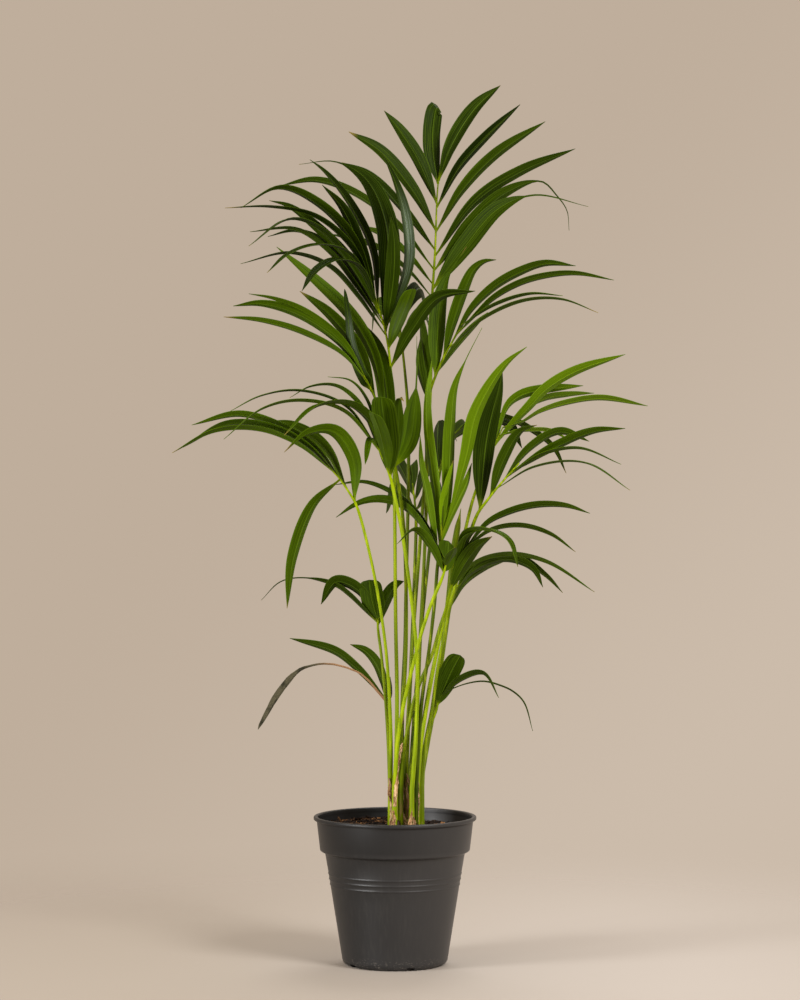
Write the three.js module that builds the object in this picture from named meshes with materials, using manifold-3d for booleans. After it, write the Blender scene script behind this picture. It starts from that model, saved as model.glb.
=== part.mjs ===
// A potted Kentia palm: several young feather palms planted together in a plain nursery pot.
// Millimetres, +Z up, the origin at the middle of the pot's foot, the front towards -Y.

import * as THREE from "three";
import { mergeVertices } from "three/addons/utils/BufferGeometryUtils.js";
import Module from "manifold-3d";

const wasm = await Module();
wasm.setup();

// ---------------------------------------------------------------- driving dimensions, mm

const POT = {
  height: 218,
  lipRadius: 120,
  lipHeight: 7,
  lipRounding: 1.4,
  bandTopRadius: 115.5,
  bandFootRadius: 110.5,
  bandHeight: 45,
  step: 2.8,
  shoulderRadius: 103,
  baseRadius: 76.6,
  footRounding: 10,
  standRadius: 68.8,
  wall: 1.8,
  floor: 2.4,
  rings: [134, 126, 118],
  ringRelief: 1.2,
  ringHeight: 4.5,
  sides: 36,
  slots: 5,
  slotWidth: 12,
  slotReach: 10,
  slotHeight: 5,
};

const SOIL = {
  level: 197,
  mound: 7,
  roughness: 1.1,
  gap: 0.3,
  slack: 0.4,
  sides: 26,
  ringsAcross: 5,
};

const STEM = {
  foot: 150,
  top: 260.7,
  footTaper: 0.6,
  sides: 10,
  hole: 0.4,
};

const STALK = {
  footRadius: 3.5,
  footGap: 0.3,
  topGap: 0.3,
  sides: 6,
  step: 62,
};

const RIB = {
  neck: 14,
  tipRadius: 1,
  sides: 6,
  step: 30,
};

const LEAFLET = {
  thickness: 1.3,
  rootWidth: 4.2,
  broadest: 0.47,
  fold: 0.22,
  step: 62,
  fewest: 4,
  most: 6,
};

const HUSK = {
  thickness: 0.9,
  gap: 0.6,
  flare: 1.2,
  tear: 9,
  columns: 6,
  rows: 3,
};

// The eye that the plant was measured from. Every place in the lists below is
// [across, up, behind]: the first two are where its line of sight from the eye meets the upright
// plane through the pot's axis, and the last is how far it lies behind that plane.
const EYE = new THREE.Vector3(7.4, -4600, 750);

const COLOURS = {
  pot: 0x2c2a29,
  soil: 0x3b2618,
  stem: 0x6f8a2a,
  stalk: 0x96ad2c,
  darkLeaf: 0x2d4410,
  lightLeaf: 0x5f7f20,
  husk: 0x9a7a55,
  dryLeaf: 0x5d5a44,
};

// ---------------------------------------------------------------- what grows where

// Each palm's short stem: [x, y, half its width, half its depth].
const STEMS = {
  palm_1: [-7, 13, 6.4, 13.4],
  palm_2: [3.5, -11, 9, 15.4],
  palm_3: [16, 25, 10.2, 14.4],
  palm_4: [29, -18, 8.4, 13.6],
  palm_5: [37, 19, 7.8, 17],
};

// Each frond: its stalk from the stem to the lowest leaflet, the rib that carries the leaflets, and
// the leaflets as [share of the rib's length, width, turn, then the places that it passes].
// A turn of 0 shows the whole width to the eye, and 90 shows only the edge.
const FRONDS = {
  crown: {
    radius: 2.6,
    stalk: [[16, 261, 14], [21, 388, 24], [28, 505, 34], [37, 623, 42], [46, 741, 48],
      [52, 844, 52], [53, 925, 54]],
    rib: [[53, 925, 54], [54, 969, 56], [59, 1050, 66], [62, 1131, 84], [65, 1165, 94]],
    leaflets: [
      [0.93, 30, 33, [56, 1190, 100], [56, 1234, 118], [62, 1260, 130], [68, 1253, 135]],
      [0.95, 27, 40, [84, 1207, 95], [118, 1260, 103], [155, 1293, 110]],
      [0.78, 22, 53, [93, 1171, 87], [132, 1215, 96], [184, 1265, 110]],
      [0.63, 24, 52, [100, 1141, 80], [147, 1190, 92], [221, 1240, 112]],
      [0.48, 24, 52, [118, 1122, 78], [184, 1166, 94], [265, 1200, 115]],
      [0.39, 26, 47, [110, 1088, 78], [162, 1135, 98], [215, 1152, 117], [238, 1131, 128]],
      [0.28, 30, 21, [103, 1057, 69], [152, 1112, 84], [206, 1132, 98], [284, 1115, 119]],
      [0.81, 25, 40, [47, 1156, 86], [31, 1190, 93], [7, 1227, 102], [-16, 1256, 111]],
      [0.64, 25, 45, [25, 1141, 85], [-22, 1197, 105], [-68, 1225, 123]],
      [0.52, 22, 58, [15, 1107, 82], [-37, 1160, 109], [-78, 1180, 128]],
      [0.4, 20, 64, [4, 1088, 79], [-66, 1138, 104], [-118, 1154, 123], [-168, 1146, 142]],
      [0.31, 20, 68, [24, 1038, 82], [-10, 1069, 114], [-50, 1087, 150]],
      [0.23, 18, 73, [24, 1016, 73], [-29, 1056, 108], [-96, 1075, 153]],
    ],
  },
  upper_left: {
    radius: 2.6,
    stalk: [[1, 261, -11], [3, 388, -8], [1, 505, -6], [0, 623, -8], [-1, 726, -12],
      [-1, 814, -18]],
    rib: [[-1, 814, -18], [-6, 873, -24], [-10, 910, -30], [-18, 947, -38], [-28, 976, -48],
      [-37, 998, -56]],
    leaflets: [
      [0.59, 20, 68, [-52, 979, -42], [-96, 1026, -56], [-155, 1046, -72], [-227, 1031, -93]],
      [0.67, 20, 68, [-59, 1000, -42], [-99, 1050, -49], [-147, 1081, -57], [-213, 1078, -66]],
      [0.71, 18, 71, [-63, 1013, -36], [-107, 1065, -33], [-147, 1079, -30], [-187, 1071, -28]],
      [0.76, 22, 66, [-66, 1031, -60], [-110, 1081, -83], [-155, 1096, -101], [-215, 1057, -131]],
      [0.78, 24, 48, [-63, 1029, -53], [-110, 1079, -68], [-155, 1115, -82], [-185, 1124, -90]],
      [0.83, 22, 62, [-63, 1053, -69], [-118, 1100, -96], [-184, 1114, -125], [-250, 1113, -158]],
      [0.87, 24, 52, [-62, 1065, -64], [-113, 1119, -84], [-169, 1142, -103], [-227, 1113, -124]],
      [0.88, 24, 43, [-50, 1050, -57], [-77, 1113, -69], [-107, 1147, -79]],
      [0.82, 22, 58, [-34, 1053, -44], [-66, 1119, -43], [-103, 1166, -42], [-125, 1184, -41]],
      [0.81, 18, 66, [-66, 1044, -82], [-107, 1059, -108], [-155, 1046, -141], [-188, 1018, -174]],
      [0.8, 20, 59, [-54, 1026, -88], [-84, 1037, -116], [-115, 1022, -151], [-137, 991, -193]],
      [0.63, 34, 18, [-9, 1021, -29], [-15, 1097, -22], [-43, 1156, -14], [-88, 1181, -8], [-141, 1177, -1]],
      [0.65, 24, 48, [18, 1028, -42], [15, 1101, -49], [0, 1153, -56], [-18, 1193, -62]],
      [0.62, 27, 40, [-3, 1006, -56], [-1, 1057, -78], [-6, 1100, -99]],
      [0.49, 27, 45, [9, 953, -55], [25, 994, -89]],
      [0.34, 28, 43, [25, 934, -34], [63, 981, -49], [118, 991, -65]],
    ],
  },
  upper_back: {
    radius: 2.6,
    stalk: [[10, 261, 22], [11, 388, 34], [15, 476, 42], [16, 535, 46], [18, 623, 50],
      [20, 726, 54], [19, 817, 56]],
    rib: [[19, 817, 56], [13, 888, 62], [6, 947, 72], [-1, 998, 88]],
    leaflets: [
      [0.84, 26, 38, [-16, 1018, 126], [-25, 1032, 148], [-34, 998, 199]],
      [0.7, 26, 38, [-4, 1006, 135], [1, 1032, 174], [13, 1006, 221]],
      [0.64, 27, 40, [19, 976, 120], [37, 994, 161], [49, 950, 250]],
      [0.55, 26, 47, [-13, 965, 143], [-28, 970, 176], [-34, 932, 267]],
      [0.98, 26, 38, [-6, 1032, 153], [-7, 1050, 197], [-10, 1032, 247]],
      [0.46, 24, 43, [26, 940, 114], [43, 959, 158], [52, 932, 214]],
    ],
  },
  upper_right: {
    radius: 2.6,
    stalk: [[25, 261, -11], [32, 358, -4], [37, 476, 4], [43, 594, 6], [47, 711, 4],
      [47, 826, -2]],
    rib: [[47, 826, -2], [53, 848, -4], [62, 872, -6], [72, 894, -8], [84, 916, -8], [94, 934, -6],
      [102, 950, -4]],
    leaflets: [
      [0.3, 29, 30, [62, 923, 0], [66, 972, 6], [74, 1006, 11], [85, 1025, 14], [105, 1056, 21]],
      [0.52, 25, 47, [84, 940, -9], [100, 987, -11], [116, 1022, -12], [131, 1034, -13], [149, 1037, -14]],
      [0.71, 23, 59, [112, 963, -4], [147, 997, 2], [183, 1018, 8], [221, 1031, 14], [266, 1028, 22]],
      [0.81, 21, 63, [119, 956, -8], [147, 981, -11], [183, 1001, -14], [221, 1012, -17], [265, 1016, -21], [322, 1007, -27]],
      [0.93, 17, 72, [147, 970, -17], [199, 986, -33], [247, 984, -51]],
      [0.64, 18, 71, [132, 951, -20], [191, 976, -37], [246, 978, -54], [299, 959, -74]],
      [0.35, 20, 64, [96, 916, 20], [137, 960, 64]],
      [0.14, 22, 53, [43, 903, 10], [38, 962, 30]],
      [0.04, 22, 53, [35, 888, 6], [37, 920, 13]],
    ],
  },
  middle_left: {
    radius: 2.6,
    stalk: [[4, 261, 0], [10, 358, 10], [16, 461, 14], [16, 564, 8], [12, 653, -4], [0, 733, -30]],
    rib: [[0, 733, -30], [-15, 785, -40], [-28, 829, -50], [-37, 850, -56], [-46, 867, -62]],
    leaflets: [
      [0.95, 20, 68, [-77, 898, -56], [-140, 931, -47], [-196, 947, -39], [-252, 953, -30]],
      [0.92, 24, 52, [-81, 915, -57], [-140, 956, -54], [-196, 972, -51], [-238, 969, -48]],
      [0.87, 20, 64, [-78, 917, -60], [-132, 960, -64], [-177, 979, -67], [-215, 987, -70]],
      [0.43, 25, 45, [-28, 883, -31], [-48, 929, -23], [-74, 965, -15], [-113, 1003, -4], [-174, 1056, 14]],
      [0.7, 25, 45, [-54, 903, -40], [-96, 956, -27], [-140, 991, -14]],
      [0.81, 22, 33, [-54, 878, -58], [-65, 917, -64], [-69, 954, -70], [-74, 994, -78]],
      [0.19, 26, 43, [-10, 829, -28], [-24, 903, -16], [-54, 950, -5]],
      [0.0, 33, 27, [21, 770, -28], [28, 814, -25], [32, 866, -21], [32, 925, -16]],
    ],
  },
  centre_left: {
    radius: 2.6,
    stalk: [[25, 261, -27], [30, 321, -30], [33, 402, -32], [31, 473, -36], [22, 554, -40],
      [10, 638, -44], [1, 682, -47], [-6, 714, -50]],
    rib: [[-6, 714, -50], [-12, 732, -56], [-19, 748, -64], [-26, 763, -74]],
    leaflets: [
      [0.42, 30, 50, [-31, 792, -77], [-63, 822, -97], [-113, 822, -126], [-163, 779, -167]],
      [0.84, 20, 68, [-74, 813, -83], [-140, 829, -103], [-196, 817, -122], [-252, 773, -149]],
      [0.94, 18, 76, [-74, 822, -84], [-140, 844, -101], [-196, 837, -116], [-243, 814, -132]],
      [0.78, 20, 68, [-54, 825, -79], [-88, 851, -89], [-125, 850, -98], [-155, 834, -107]],
      [0.59, 16, 74, [-43, 832, -73], [-66, 859, -79], [-99, 865, -86]],
      [0.12, 37, 17, [-13, 782, -92], [-20, 835, -144]],
      [0.06, 26, 43, [4, 785, -78], [7, 834, -106], [13, 829, -111]],
      [0.88, 9, 49, [-35, 775, -94], [-44, 736, -170]],
      [0.18, 28, 43, [-16, 761, -88], [-22, 785, -121], [-32, 812, -165]],
    ],
  },
  far_left: {
    radius: 2.2,
    stalk: [[-7, 261, 4], [-6, 314, -2], [-8, 388, -10], [-14, 469, -18], [-26, 549, -26],
      [-40, 616, -34], [-57, 676, -40]],
    rib: [[-57, 676, -40], [-69, 697, -44], [-81, 714, -48], [-91, 726, -50]],
    leaflets: [
      [0.1, 28, 33, [-62, 744, -52], [-90, 784, -64], [-128, 782, -76], [-163, 754, -91]],
      [0.75, 26, 51, [-119, 678, -51], [-149, 601, -59], [-159, 524, -68]],
      [0.63, 22, 66, [-113, 756, -41], [-162, 788, -33], [-228, 809, -21], [-299, 794, -7]],
      [0.83, 22, 66, [-125, 760, -47], [-177, 788, -44], [-246, 795, -40], [-312, 761, -35]],
      [0.97, 22, 70, [-140, 763, -52], [-199, 786, -55], [-265, 784, -59], [-328, 753, -64]],
      [0.45, 24, 52, [-103, 760, -26], [-147, 789, -4], [-206, 795, 25]],
    ],
  },
  centre: {
    light: true,
    radius: 2.6,
    stalk: [[31, 261, -20], [35, 329, -22], [40, 391, -28], [50, 461, -37], [58, 529, -44],
      [63, 591, -52]],
    rib: [[63, 591, -52], [66, 616, -56], [69, 645, -60], [71, 675, -62]],
    leaflets: [
      [0.1, 20, 59, [54, 653, -56], [47, 697, -59], [38, 739, -62], [37, 779, -65]],
      [0.3, 24, 54, [61, 682, -55], [55, 726, -54], [47, 792, -53], [47, 837, -51], [54, 888, -50]],
      [0.39, 25, 45, [77, 682, -58], [80, 741, -59], [82, 792, -60], [88, 848, -62], [103, 887, -63], [128, 937, -65]],
      [0.42, 26, 40, [81, 663, -59], [91, 697, -62], [106, 753, -68], [118, 807, -74], [143, 857, -81], [166, 887, -86], [194, 909, -91]],
      [0.3, 20, 49, [81, 657, -52], [94, 685, -48], [106, 711, -43], [113, 738, -38]],
      [0.59, 13, 47, [71, 682, -63], [78, 711, -68], [86, 742, -73]],
    ],
  },
  right: {
    radius: 2.6,
    stalk: [[33, 261, -8], [38, 321, -6], [44, 363, -4], [50, 398, -4], [61, 457, -4],
      [73, 510, -4], [84, 542, -4], [97, 585, -10], [107, 623, -20], [122, 664, -40]],
    rib: [[122, 664, -40], [135, 682, -48], [150, 701, -54], [166, 719, -58], [183, 738, -60]],
    leaflets: [
      [0.06, 36, 28, [130, 733, -45], [135, 775, -48], [143, 812, -51], [152, 845, -54], [158, 873, -56]],
      [0.33, 24, 43, [162, 748, -65], [184, 784, -80], [209, 794, -90]],
      [0.63, 21, 58, [199, 760, -49], [243, 784, -40], [286, 770, -30]],
      [0.83, 22, 53, [231, 759, -64], [290, 784, -72], [339, 789, -79]],
      [0.72, 18, 71, [213, 748, -68], [272, 759, -85], [333, 736, -108]],
      [0.49, 15, 76, [206, 732, -69], [280, 738, -96], [346, 698, -130]],
    ],
  },
  far_right: {
    light: true,
    radius: 2.5,
    stalk: [[34, 261, 25], [38, 321, 30], [47, 388, 34], [60, 454, 37], [73, 510, 39],
      [85, 552, 40], [100, 623, 40], [115, 685, 38]],
    rib: [[115, 685, 38], [131, 729, 40], [146, 764, 42], [159, 791, 44]],
    leaflets: [
      [0.72, 23, 50, [163, 785, 44], [196, 819, 48], [224, 848, 53], [266, 873, 60], [339, 898, 72]],
      [1.0, 19, 65, [184, 797, 47], [213, 813, 54], [249, 825, 64], [302, 833, 79], [372, 822, 104]],
      [0.77, 19, 60, [166, 822, 60], [184, 837, 70], [213, 845, 86], [277, 852, 122]],
      [0.83, 15, 67, [191, 817, 69], [221, 833, 91], [258, 839, 118], [293, 841, 147]],
      [0.88, 15, 67, [177, 784, 45], [202, 786, 47], [228, 785, 51], [255, 773, 55]],
    ],
  },
  back_right: {
    radius: 2.6,
    stalk: [[22, 261, 26], [28, 358, 44], [37, 476, 62], [49, 594, 78], [57, 667, 88],
      [63, 706, 94]],
    rib: [[63, 706, 94], [68, 733, 100], [77, 763, 108], [88, 785, 118]],
    leaflets: [
      [0.92, 15, 67, [125, 809, 124], [165, 804, 134], [203, 785, 147], [233, 761, 160], [252, 723, 175]],
      [0.8, 18, 66, [125, 794, 138], [165, 797, 171], [187, 760, 211]],
      [0.24, 26, 43, [63, 763, 134], [64, 800, 188]],
      [0.52, 20, 49, [88, 782, 160], [102, 794, 198], [112, 773, 254]],
      [0.65, 20, 49, [78, 776, 158], [84, 786, 208], [91, 770, 297]],
      [0.38, 18, 49, [59, 759, 155], [54, 769, 194], [53, 750, 271]],
    ],
  },
  back_left: {
    radius: 2.6,
    stalk: [[12, 261, 32], [19, 358, 54], [25, 476, 80], [29, 579, 100], [31, 653, 112]],
    rib: [[31, 653, 112], [29, 682, 120], [26, 708, 132]],
    leaflets: [
      [0.79, 25, 54, [25, 729, 169], [24, 735, 181], [21, 717, 217]],
      [0.66, 25, 54, [12, 726, 184], [4, 738, 214], [-1, 714, 273]],
      [0.53, 25, 54, [43, 720, 184], [52, 732, 218], [60, 706, 290]],
      [0.26, 24, 52, [52, 697, 161], [63, 703, 184], [75, 670, 256]],
      [0.2, 24, 52, [10, 694, 154], [-4, 700, 178], [-13, 664, 245]],
    ],
  },
  lower_front: {
    radius: 2.6,
    stalk: [[-1, 261, -22], [4, 329, -30], [14, 388, -40], [28, 446, -54], [40, 491, -64],
      [54, 532, -72], [71, 573, -80]],
    rib: [[71, 573, -80], [74, 586, -82], [77, 600, -84]],
    leaflets: [
      [0.15, 24, 56, [52, 616, -86], [29, 639, -93], [3, 619, -101]],
      [0.43, 16, 63, [44, 641, -52], [7, 678, 4], [-25, 685, 14], [-54, 679, 16], [-87, 658, 16]],
      [0.71, 12, 68, [38, 658, -30], [0, 692, 14], [-44, 710, 22], [-90, 706, 20]],
      [0.17, 31, 31, [77, 601, -68], [79, 623, -51]],
      [0.5, 18, 49, [82, 600, -96], [88, 614, -118]],
    ],
  },
  lower_right: {
    radius: 2.6,
    stalk: [[9, 261, -9], [13, 314, -12], [21, 355, -12], [28, 388, -13], [38, 417, -16],
      [54, 454, -20], [66, 495, -20], [75, 523, -20]],
    rib: [[75, 523, -20], [81, 549, -22], [88, 576, -26], [96, 597, -30], [103, 614, -34]],
    leaflets: [
      [0.77, 29, 40, [110, 635, -54], [143, 638, -76], [168, 622, -90], [181, 585, -98]],
      [0.92, 20, 61, [135, 648, -29], [165, 664, -25], [206, 675, -20], [250, 675, -14], [287, 664, -8]],
      [0.97, 18, 63, [140, 638, -35], [184, 645, -38], [228, 633, -41], [266, 607, -45]],
      [0.32, 29, 40, [105, 594, -33], [122, 616, -43], [143, 630, -53]],
      [0.61, 24, 56, [99, 611, -40], [107, 630, -52], [119, 638, -61]],
    ],
  },
  low_right: {
    radius: 2.3,
    stalk: [[38, 261, 9], [44, 321, 9], [54, 373, 11], [63, 436, 14], [72, 483, 14],
      [81, 523, 12]],
    rib: [[81, 523, 12], [84, 535, 10], [88, 548, 8], [94, 560, 6]],
    leaflets: [
      [0.46, 21, 63, [113, 586, 5], [162, 602, 0], [221, 592, -8], [294, 548, -21]],
      [0.31, 24, 56, [110, 576, 13], [162, 597, 18], [202, 583, 22], [218, 555, 26]],
      [0.78, 17, 70, [125, 589, 15], [177, 600, 26], [221, 573, 40], [247, 547, 51]],
      [0.07, 20, 64, [105, 563, 29], [137, 586, 53], [169, 597, 78]],
    ],
  },
  low_left: {
    radius: 2.2,
    stalk: [[-7, 261, 13], [-10, 329, 14], [-15, 402, 15], [-20, 454, 18], [-25, 494, 24]],
    rib: [[-25, 494, 24], [-26, 513, 27], [-31, 529, 30]],
    leaflets: [
      [0.24, 16, 63, [-66, 542, 34], [-88, 558, 40], [-135, 569, 53], [-169, 563, 63], [-197, 536, 75]],
      [0.4, 25, 50, [-54, 551, 30], [-87, 563, 35], [-109, 530, 40]],
      [0.32, 35, 15, [-34, 538, 22], [-38, 566, 18]],
      [0.15, 25, 45, [-13, 535, 36], [1, 558, 48], [13, 564, 55]],
    ],
  },
  bottom_left: {
    radius: 2.2,
    stalk: [[-6, 261, 22], [-7, 314, 24], [-9, 351, 27], [-10, 379, 30]],
    rib: [[-10, 379, 30], [-12, 388, 32], [-15, 398, 34]],
    leaflets: [
      [0.54, 21, 53, [-38, 417, 37], [-56, 435, 43], [-88, 460, 52], [-155, 480, 72]],
      [0.37, 22, 51, [-18, 416, 35], [-29, 444, 41], [-44, 461, 46], [-66, 471, 52]],
      [0.21, 14, 58, [-5, 402, 54], [-7, 423, 91]],
    ],
  },
  bottom_right: {
    radius: 2.2,
    stalk: [[40, 261, 18], [43, 302, 20], [49, 342, 22], [62, 377, 24]],
    rib: [[62, 377, 24], [63, 386, 26], [66, 396, 28]],
    leaflets: [
      [0.24, 34, 25, [74, 411, 24], [84, 433, 24], [96, 455, 23]],
      [0.64, 23, 59, [96, 418, 21], [130, 427, 14], [153, 392, 5]],
      [0.86, 6, 67, [84, 405, 28], [107, 413, 29], [131, 416, 30], [155, 410, 31], [174, 401, 32], [190, 385, 33], [203, 343, 35]],
    ],
  },
};

// The withered leaflet at the bottom left hangs from the same rib as its green neighbours.
const DRY_LEAFLET = {
  frond: "bottom_left",
  leaflet: [0.35, 15, 40, [-54, 429, 14], [-103, 442, 18], [-140, 433, 12], [-166, 405, 8],
    [-187, 372, 4], [-202, 345, 2]],
};

// A young leaf that hasn't opened stands among the stalks: its foot, its bends and its point.
const SPEAR = {
  radius: 3.2,
  swell: 2.2,
  rings: 8,
  passes: [[38, 261, 32], [49, 329, 46], [62, 402, 48], [72, 476, 52], [81, 549, 54],
    [88, 616, 54], [97, 671, 54]],
};

// Dry sheaths wrapped round the stems: [stem, start angle, end angle, foot height, top height].
// Angles go round from +X, and the front is at -90 degrees.
const HUSKS = {
  husk_1: ["palm_1", -175, -100, 212, 246],
  husk_2: ["palm_2", -118, -30, 211, 256],
  husk_3: ["palm_3", -160, -85, 214, 258],
  husk_4: ["palm_4", -175, -95, 212, 257],
  husk_5: ["palm_5", -98, -30, 212, 252],
};

// ---------------------------------------------------------------- small helpers

const radians = THREE.MathUtils.degToRad;

function paint(colour, roughness) {
  return new THREE.MeshStandardMaterial({ color: colour, roughness, metalness: 0 });
}

// The real place of a point that is given as [across, up, behind].
function place([across, up, behind]) {
  const onPlane = new THREE.Vector3(across, 0, up);
  return onPlane.sub(EYE).multiplyScalar(1 + behind / -EYE.y).add(EYE);
}

function curveThrough(points) {
  return new THREE.CatmullRomCurve3(points, false, "centripetal");
}

// The triangles that fill a ring whose two halves run side by side, from one end to the other.
function cap(count, add) {
  for (let i = 0; i + 1 < count / 2; i += 1) {
    const far = count - 1 - i;
    add(i, i + 1, far);
    if (i + 1 < far - 1) add(i + 1, far - 1, far);
  }
}

// Closed rings of the same number of points, joined in turn. Both ends are closed, the last one
// to a point where a tip is given.
function skin(rings, tip = null) {
  const count = rings[0].length;
  const points = rings.flat();
  const faces = [];
  for (let ring = 0; ring + 1 < rings.length; ring += 1) {
    for (let side = 0; side < count; side += 1) {
      const a = ring * count + side;
      const b = ring * count + ((side + 1) % count);
      const even = side % 2 === 0;
      if (even) faces.push(a, b, b + count, a, b + count, a + count);
      else faces.push(a, b, a + count, b, b + count, a + count);
    }
  }
  const last = (rings.length - 1) * count;
  cap(count, (a, b, c) => faces.push(a, c, b));
  if (tip) {
    points.push(tip);
    for (let side = 0; side < count; side += 1) {
      faces.push(last + side, last + ((side + 1) % count), points.length - 1);
    }
  } else {
    cap(count, (a, b, c) => faces.push(last + a, last + b, last + c));
  }
  const geometry = new THREE.BufferGeometry().setFromPoints(points);
  geometry.setIndex(faces);
  return geometry;
}

function signedVolume(geometry) {
  const at = geometry.attributes.position;
  const index = geometry.index.array;
  const corner = (i) => new THREE.Vector3().fromBufferAttribute(at, index[i]);
  let sum = 0;
  for (let i = 0; i < index.length; i += 3) {
    sum += corner(i).dot(corner(i + 1).cross(corner(i + 2)));
  }
  return sum / 6;
}

function solid(source) {
  const bare = source.clone();
  bare.deleteAttribute("normal");
  bare.deleteAttribute("uv");
  const geometry = mergeVertices(bare, 1e-4);
  const triVerts = new Uint32Array(geometry.index.array);
  if (signedVolume(geometry) < 0) triVerts.reverse();
  const vertProperties = new Float32Array(geometry.attributes.position.array);
  return new wasm.Manifold(new wasm.Mesh({ numProp: 3, vertProperties, triVerts }));
}

function mesh(name, shape, material) {
  const data = shape.getMesh();
  const geometry = new THREE.BufferGeometry();
  geometry.setAttribute("position", new THREE.BufferAttribute(data.vertProperties, 3));
  geometry.setIndex(new THREE.BufferAttribute(data.triVerts, 1));
  geometry.computeVertexNormals();
  const piece = new THREE.Mesh(geometry, material);
  piece.name = name;
  return piece;
}

// ---------------------------------------------------------------- pot and soil

const BAND_FOOT = POT.height - POT.lipHeight - POT.bandHeight;
const LIP_FOOT = POT.height - POT.lipHeight;

function potRadiusAt(height) {
  return THREE.MathUtils.mapLinear(height, 0, BAND_FOOT, POT.baseRadius, POT.shoulderRadius);
}

function pot() {
  const { footRounding, standRadius, wall, step, lipRounding, ringHeight } = POT;
  const inner = (height) => potRadiusAt(height) - wall;
  const footEdge = potRadiusAt(footRounding);
  const outline = [
    [0, POT.floor],
    [inner(footRounding) - footRounding, POT.floor],
    [inner(footRounding), footRounding + POT.floor],
    [inner(BAND_FOOT - step), BAND_FOOT - step],
    [POT.bandFootRadius - wall, BAND_FOOT + step],
    [POT.bandTopRadius - wall, LIP_FOOT],
    [POT.bandTopRadius - wall, POT.height - lipRounding],
    [POT.bandTopRadius, POT.height],
    [POT.lipRadius - lipRounding, POT.height],
    [POT.lipRadius, POT.height - lipRounding],
    [POT.lipRadius, LIP_FOOT + lipRounding * 2],
    [POT.lipRadius - lipRounding, LIP_FOOT + lipRounding],
    [POT.bandTopRadius, LIP_FOOT],
    [POT.bandFootRadius, BAND_FOOT + step],
    [POT.bandFootRadius - step, BAND_FOOT],
    [POT.shoulderRadius, BAND_FOOT - step],
  ];
  for (const ring of POT.rings) {
    outline.push([potRadiusAt(ring + ringHeight / 2), ring + ringHeight / 2]);
    outline.push([potRadiusAt(ring) + POT.ringRelief, ring]);
    outline.push([potRadiusAt(ring - ringHeight / 2), ring - ringHeight / 2]);
  }
  outline.push([footEdge, footRounding]);
  outline.push([THREE.MathUtils.lerp(standRadius, footEdge, 0.7), footRounding * 0.3]);
  outline.push([standRadius, 0]);
  outline.push([0, 0]);
  const profile = outline.map(([radius, height]) => new THREE.Vector2(radius, height));
  profile.push(profile[0].clone());
  const turned = new THREE.LatheGeometry(profile, POT.sides).rotateX(Math.PI / 2);
  let shell = solid(turned);
  for (let slot = 0; slot < POT.slots; slot += 1) {
    const { slotReach, slotWidth, slotHeight } = POT;
    const cutter = new THREE.BoxGeometry(slotReach * 2, slotWidth, slotHeight * 2);
    cutter.translate(POT.baseRadius, 0, 0);
    cutter.rotateZ(radians((slot * 360) / POT.slots));
    shell = shell.subtract(solid(cutter));
  }
  return shell;
}

// The soil's top is uneven: a low mound at the back left, and lumps that come from three waves.
function soilHeight(x, y) {
  const waves = Math.sin(x / 4.8 + 1) * Math.cos(y / 5.9) + Math.sin(x / 11 - y / 7.7);
  const mound = THREE.MathUtils.clamp(0.5 - x / 130 + y / 300, 0, 1);
  return SOIL.level + mound * SOIL.mound + waves * SOIL.roughness;
}

// The pot's wall is flat between its corners, so the soil keeps inside the middle of each flat.
function soilRadiusAt(height) {
  const outside = height < BAND_FOOT ? potRadiusAt(height) : POT.bandFootRadius;
  return outside * Math.cos(Math.PI / POT.sides) - POT.wall - SOIL.gap - SOIL.slack;
}

function soil(holes) {
  const circle = (radius, heightAt) => {
    const ring = [];
    for (let side = 0; side < SOIL.sides; side += 1) {
      const angle = (side / SOIL.sides) * Math.PI * 2;
      const x = radius * Math.cos(angle);
      const y = radius * Math.sin(angle);
      ring.push(new THREE.Vector3(x, y, heightAt(x, y)));
    }
    return ring;
  };
  const { footRounding, floor, step } = POT;
  const footRadius = soilRadiusAt(footRounding) - footRounding;
  const rings = [circle(footRadius, () => floor + SOIL.gap)];
  for (const height of [footRounding * 1.4 + floor, BAND_FOOT - step, BAND_FOOT + step * 1.6]) {
    rings.push(circle(soilRadiusAt(height), () => height));
  }
  const edge = soilRadiusAt(BAND_FOOT);
  for (let ring = SOIL.ringsAcross; ring > 0; ring -= 1) {
    rings.push(circle((edge * ring) / SOIL.ringsAcross, soilHeight));
  }
  const body = solid(skin(rings, new THREE.Vector3(0, 0, soilHeight(0, 0))));
  return holes.reduce((rest, hole) => rest.subtract(hole), body);
}

// ---------------------------------------------------------------- stems and their dry sheaths

function ovalRing([x, y, halfWide, halfDeep], height, grow, sides) {
  const ring = [];
  for (let side = 0; side < sides; side += 1) {
    const angle = (side / sides) * Math.PI * 2;
    const across = (halfWide + grow) * Math.cos(angle);
    const behind = (halfDeep + grow) * Math.sin(angle);
    ring.push(new THREE.Vector3(x + across, y + behind, height));
  }
  return ring;
}

function stem(oval, grow = 0, lower = 0) {
  const waist = (STEM.foot + STEM.top) / 2;
  return solid(skin([
    ovalRing(oval, STEM.foot - lower, grow - STEM.footTaper, STEM.sides),
    ovalRing(oval, waist, grow, STEM.sides),
    ovalRing(oval, STEM.top, grow, STEM.sides),
  ]));
}

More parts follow.
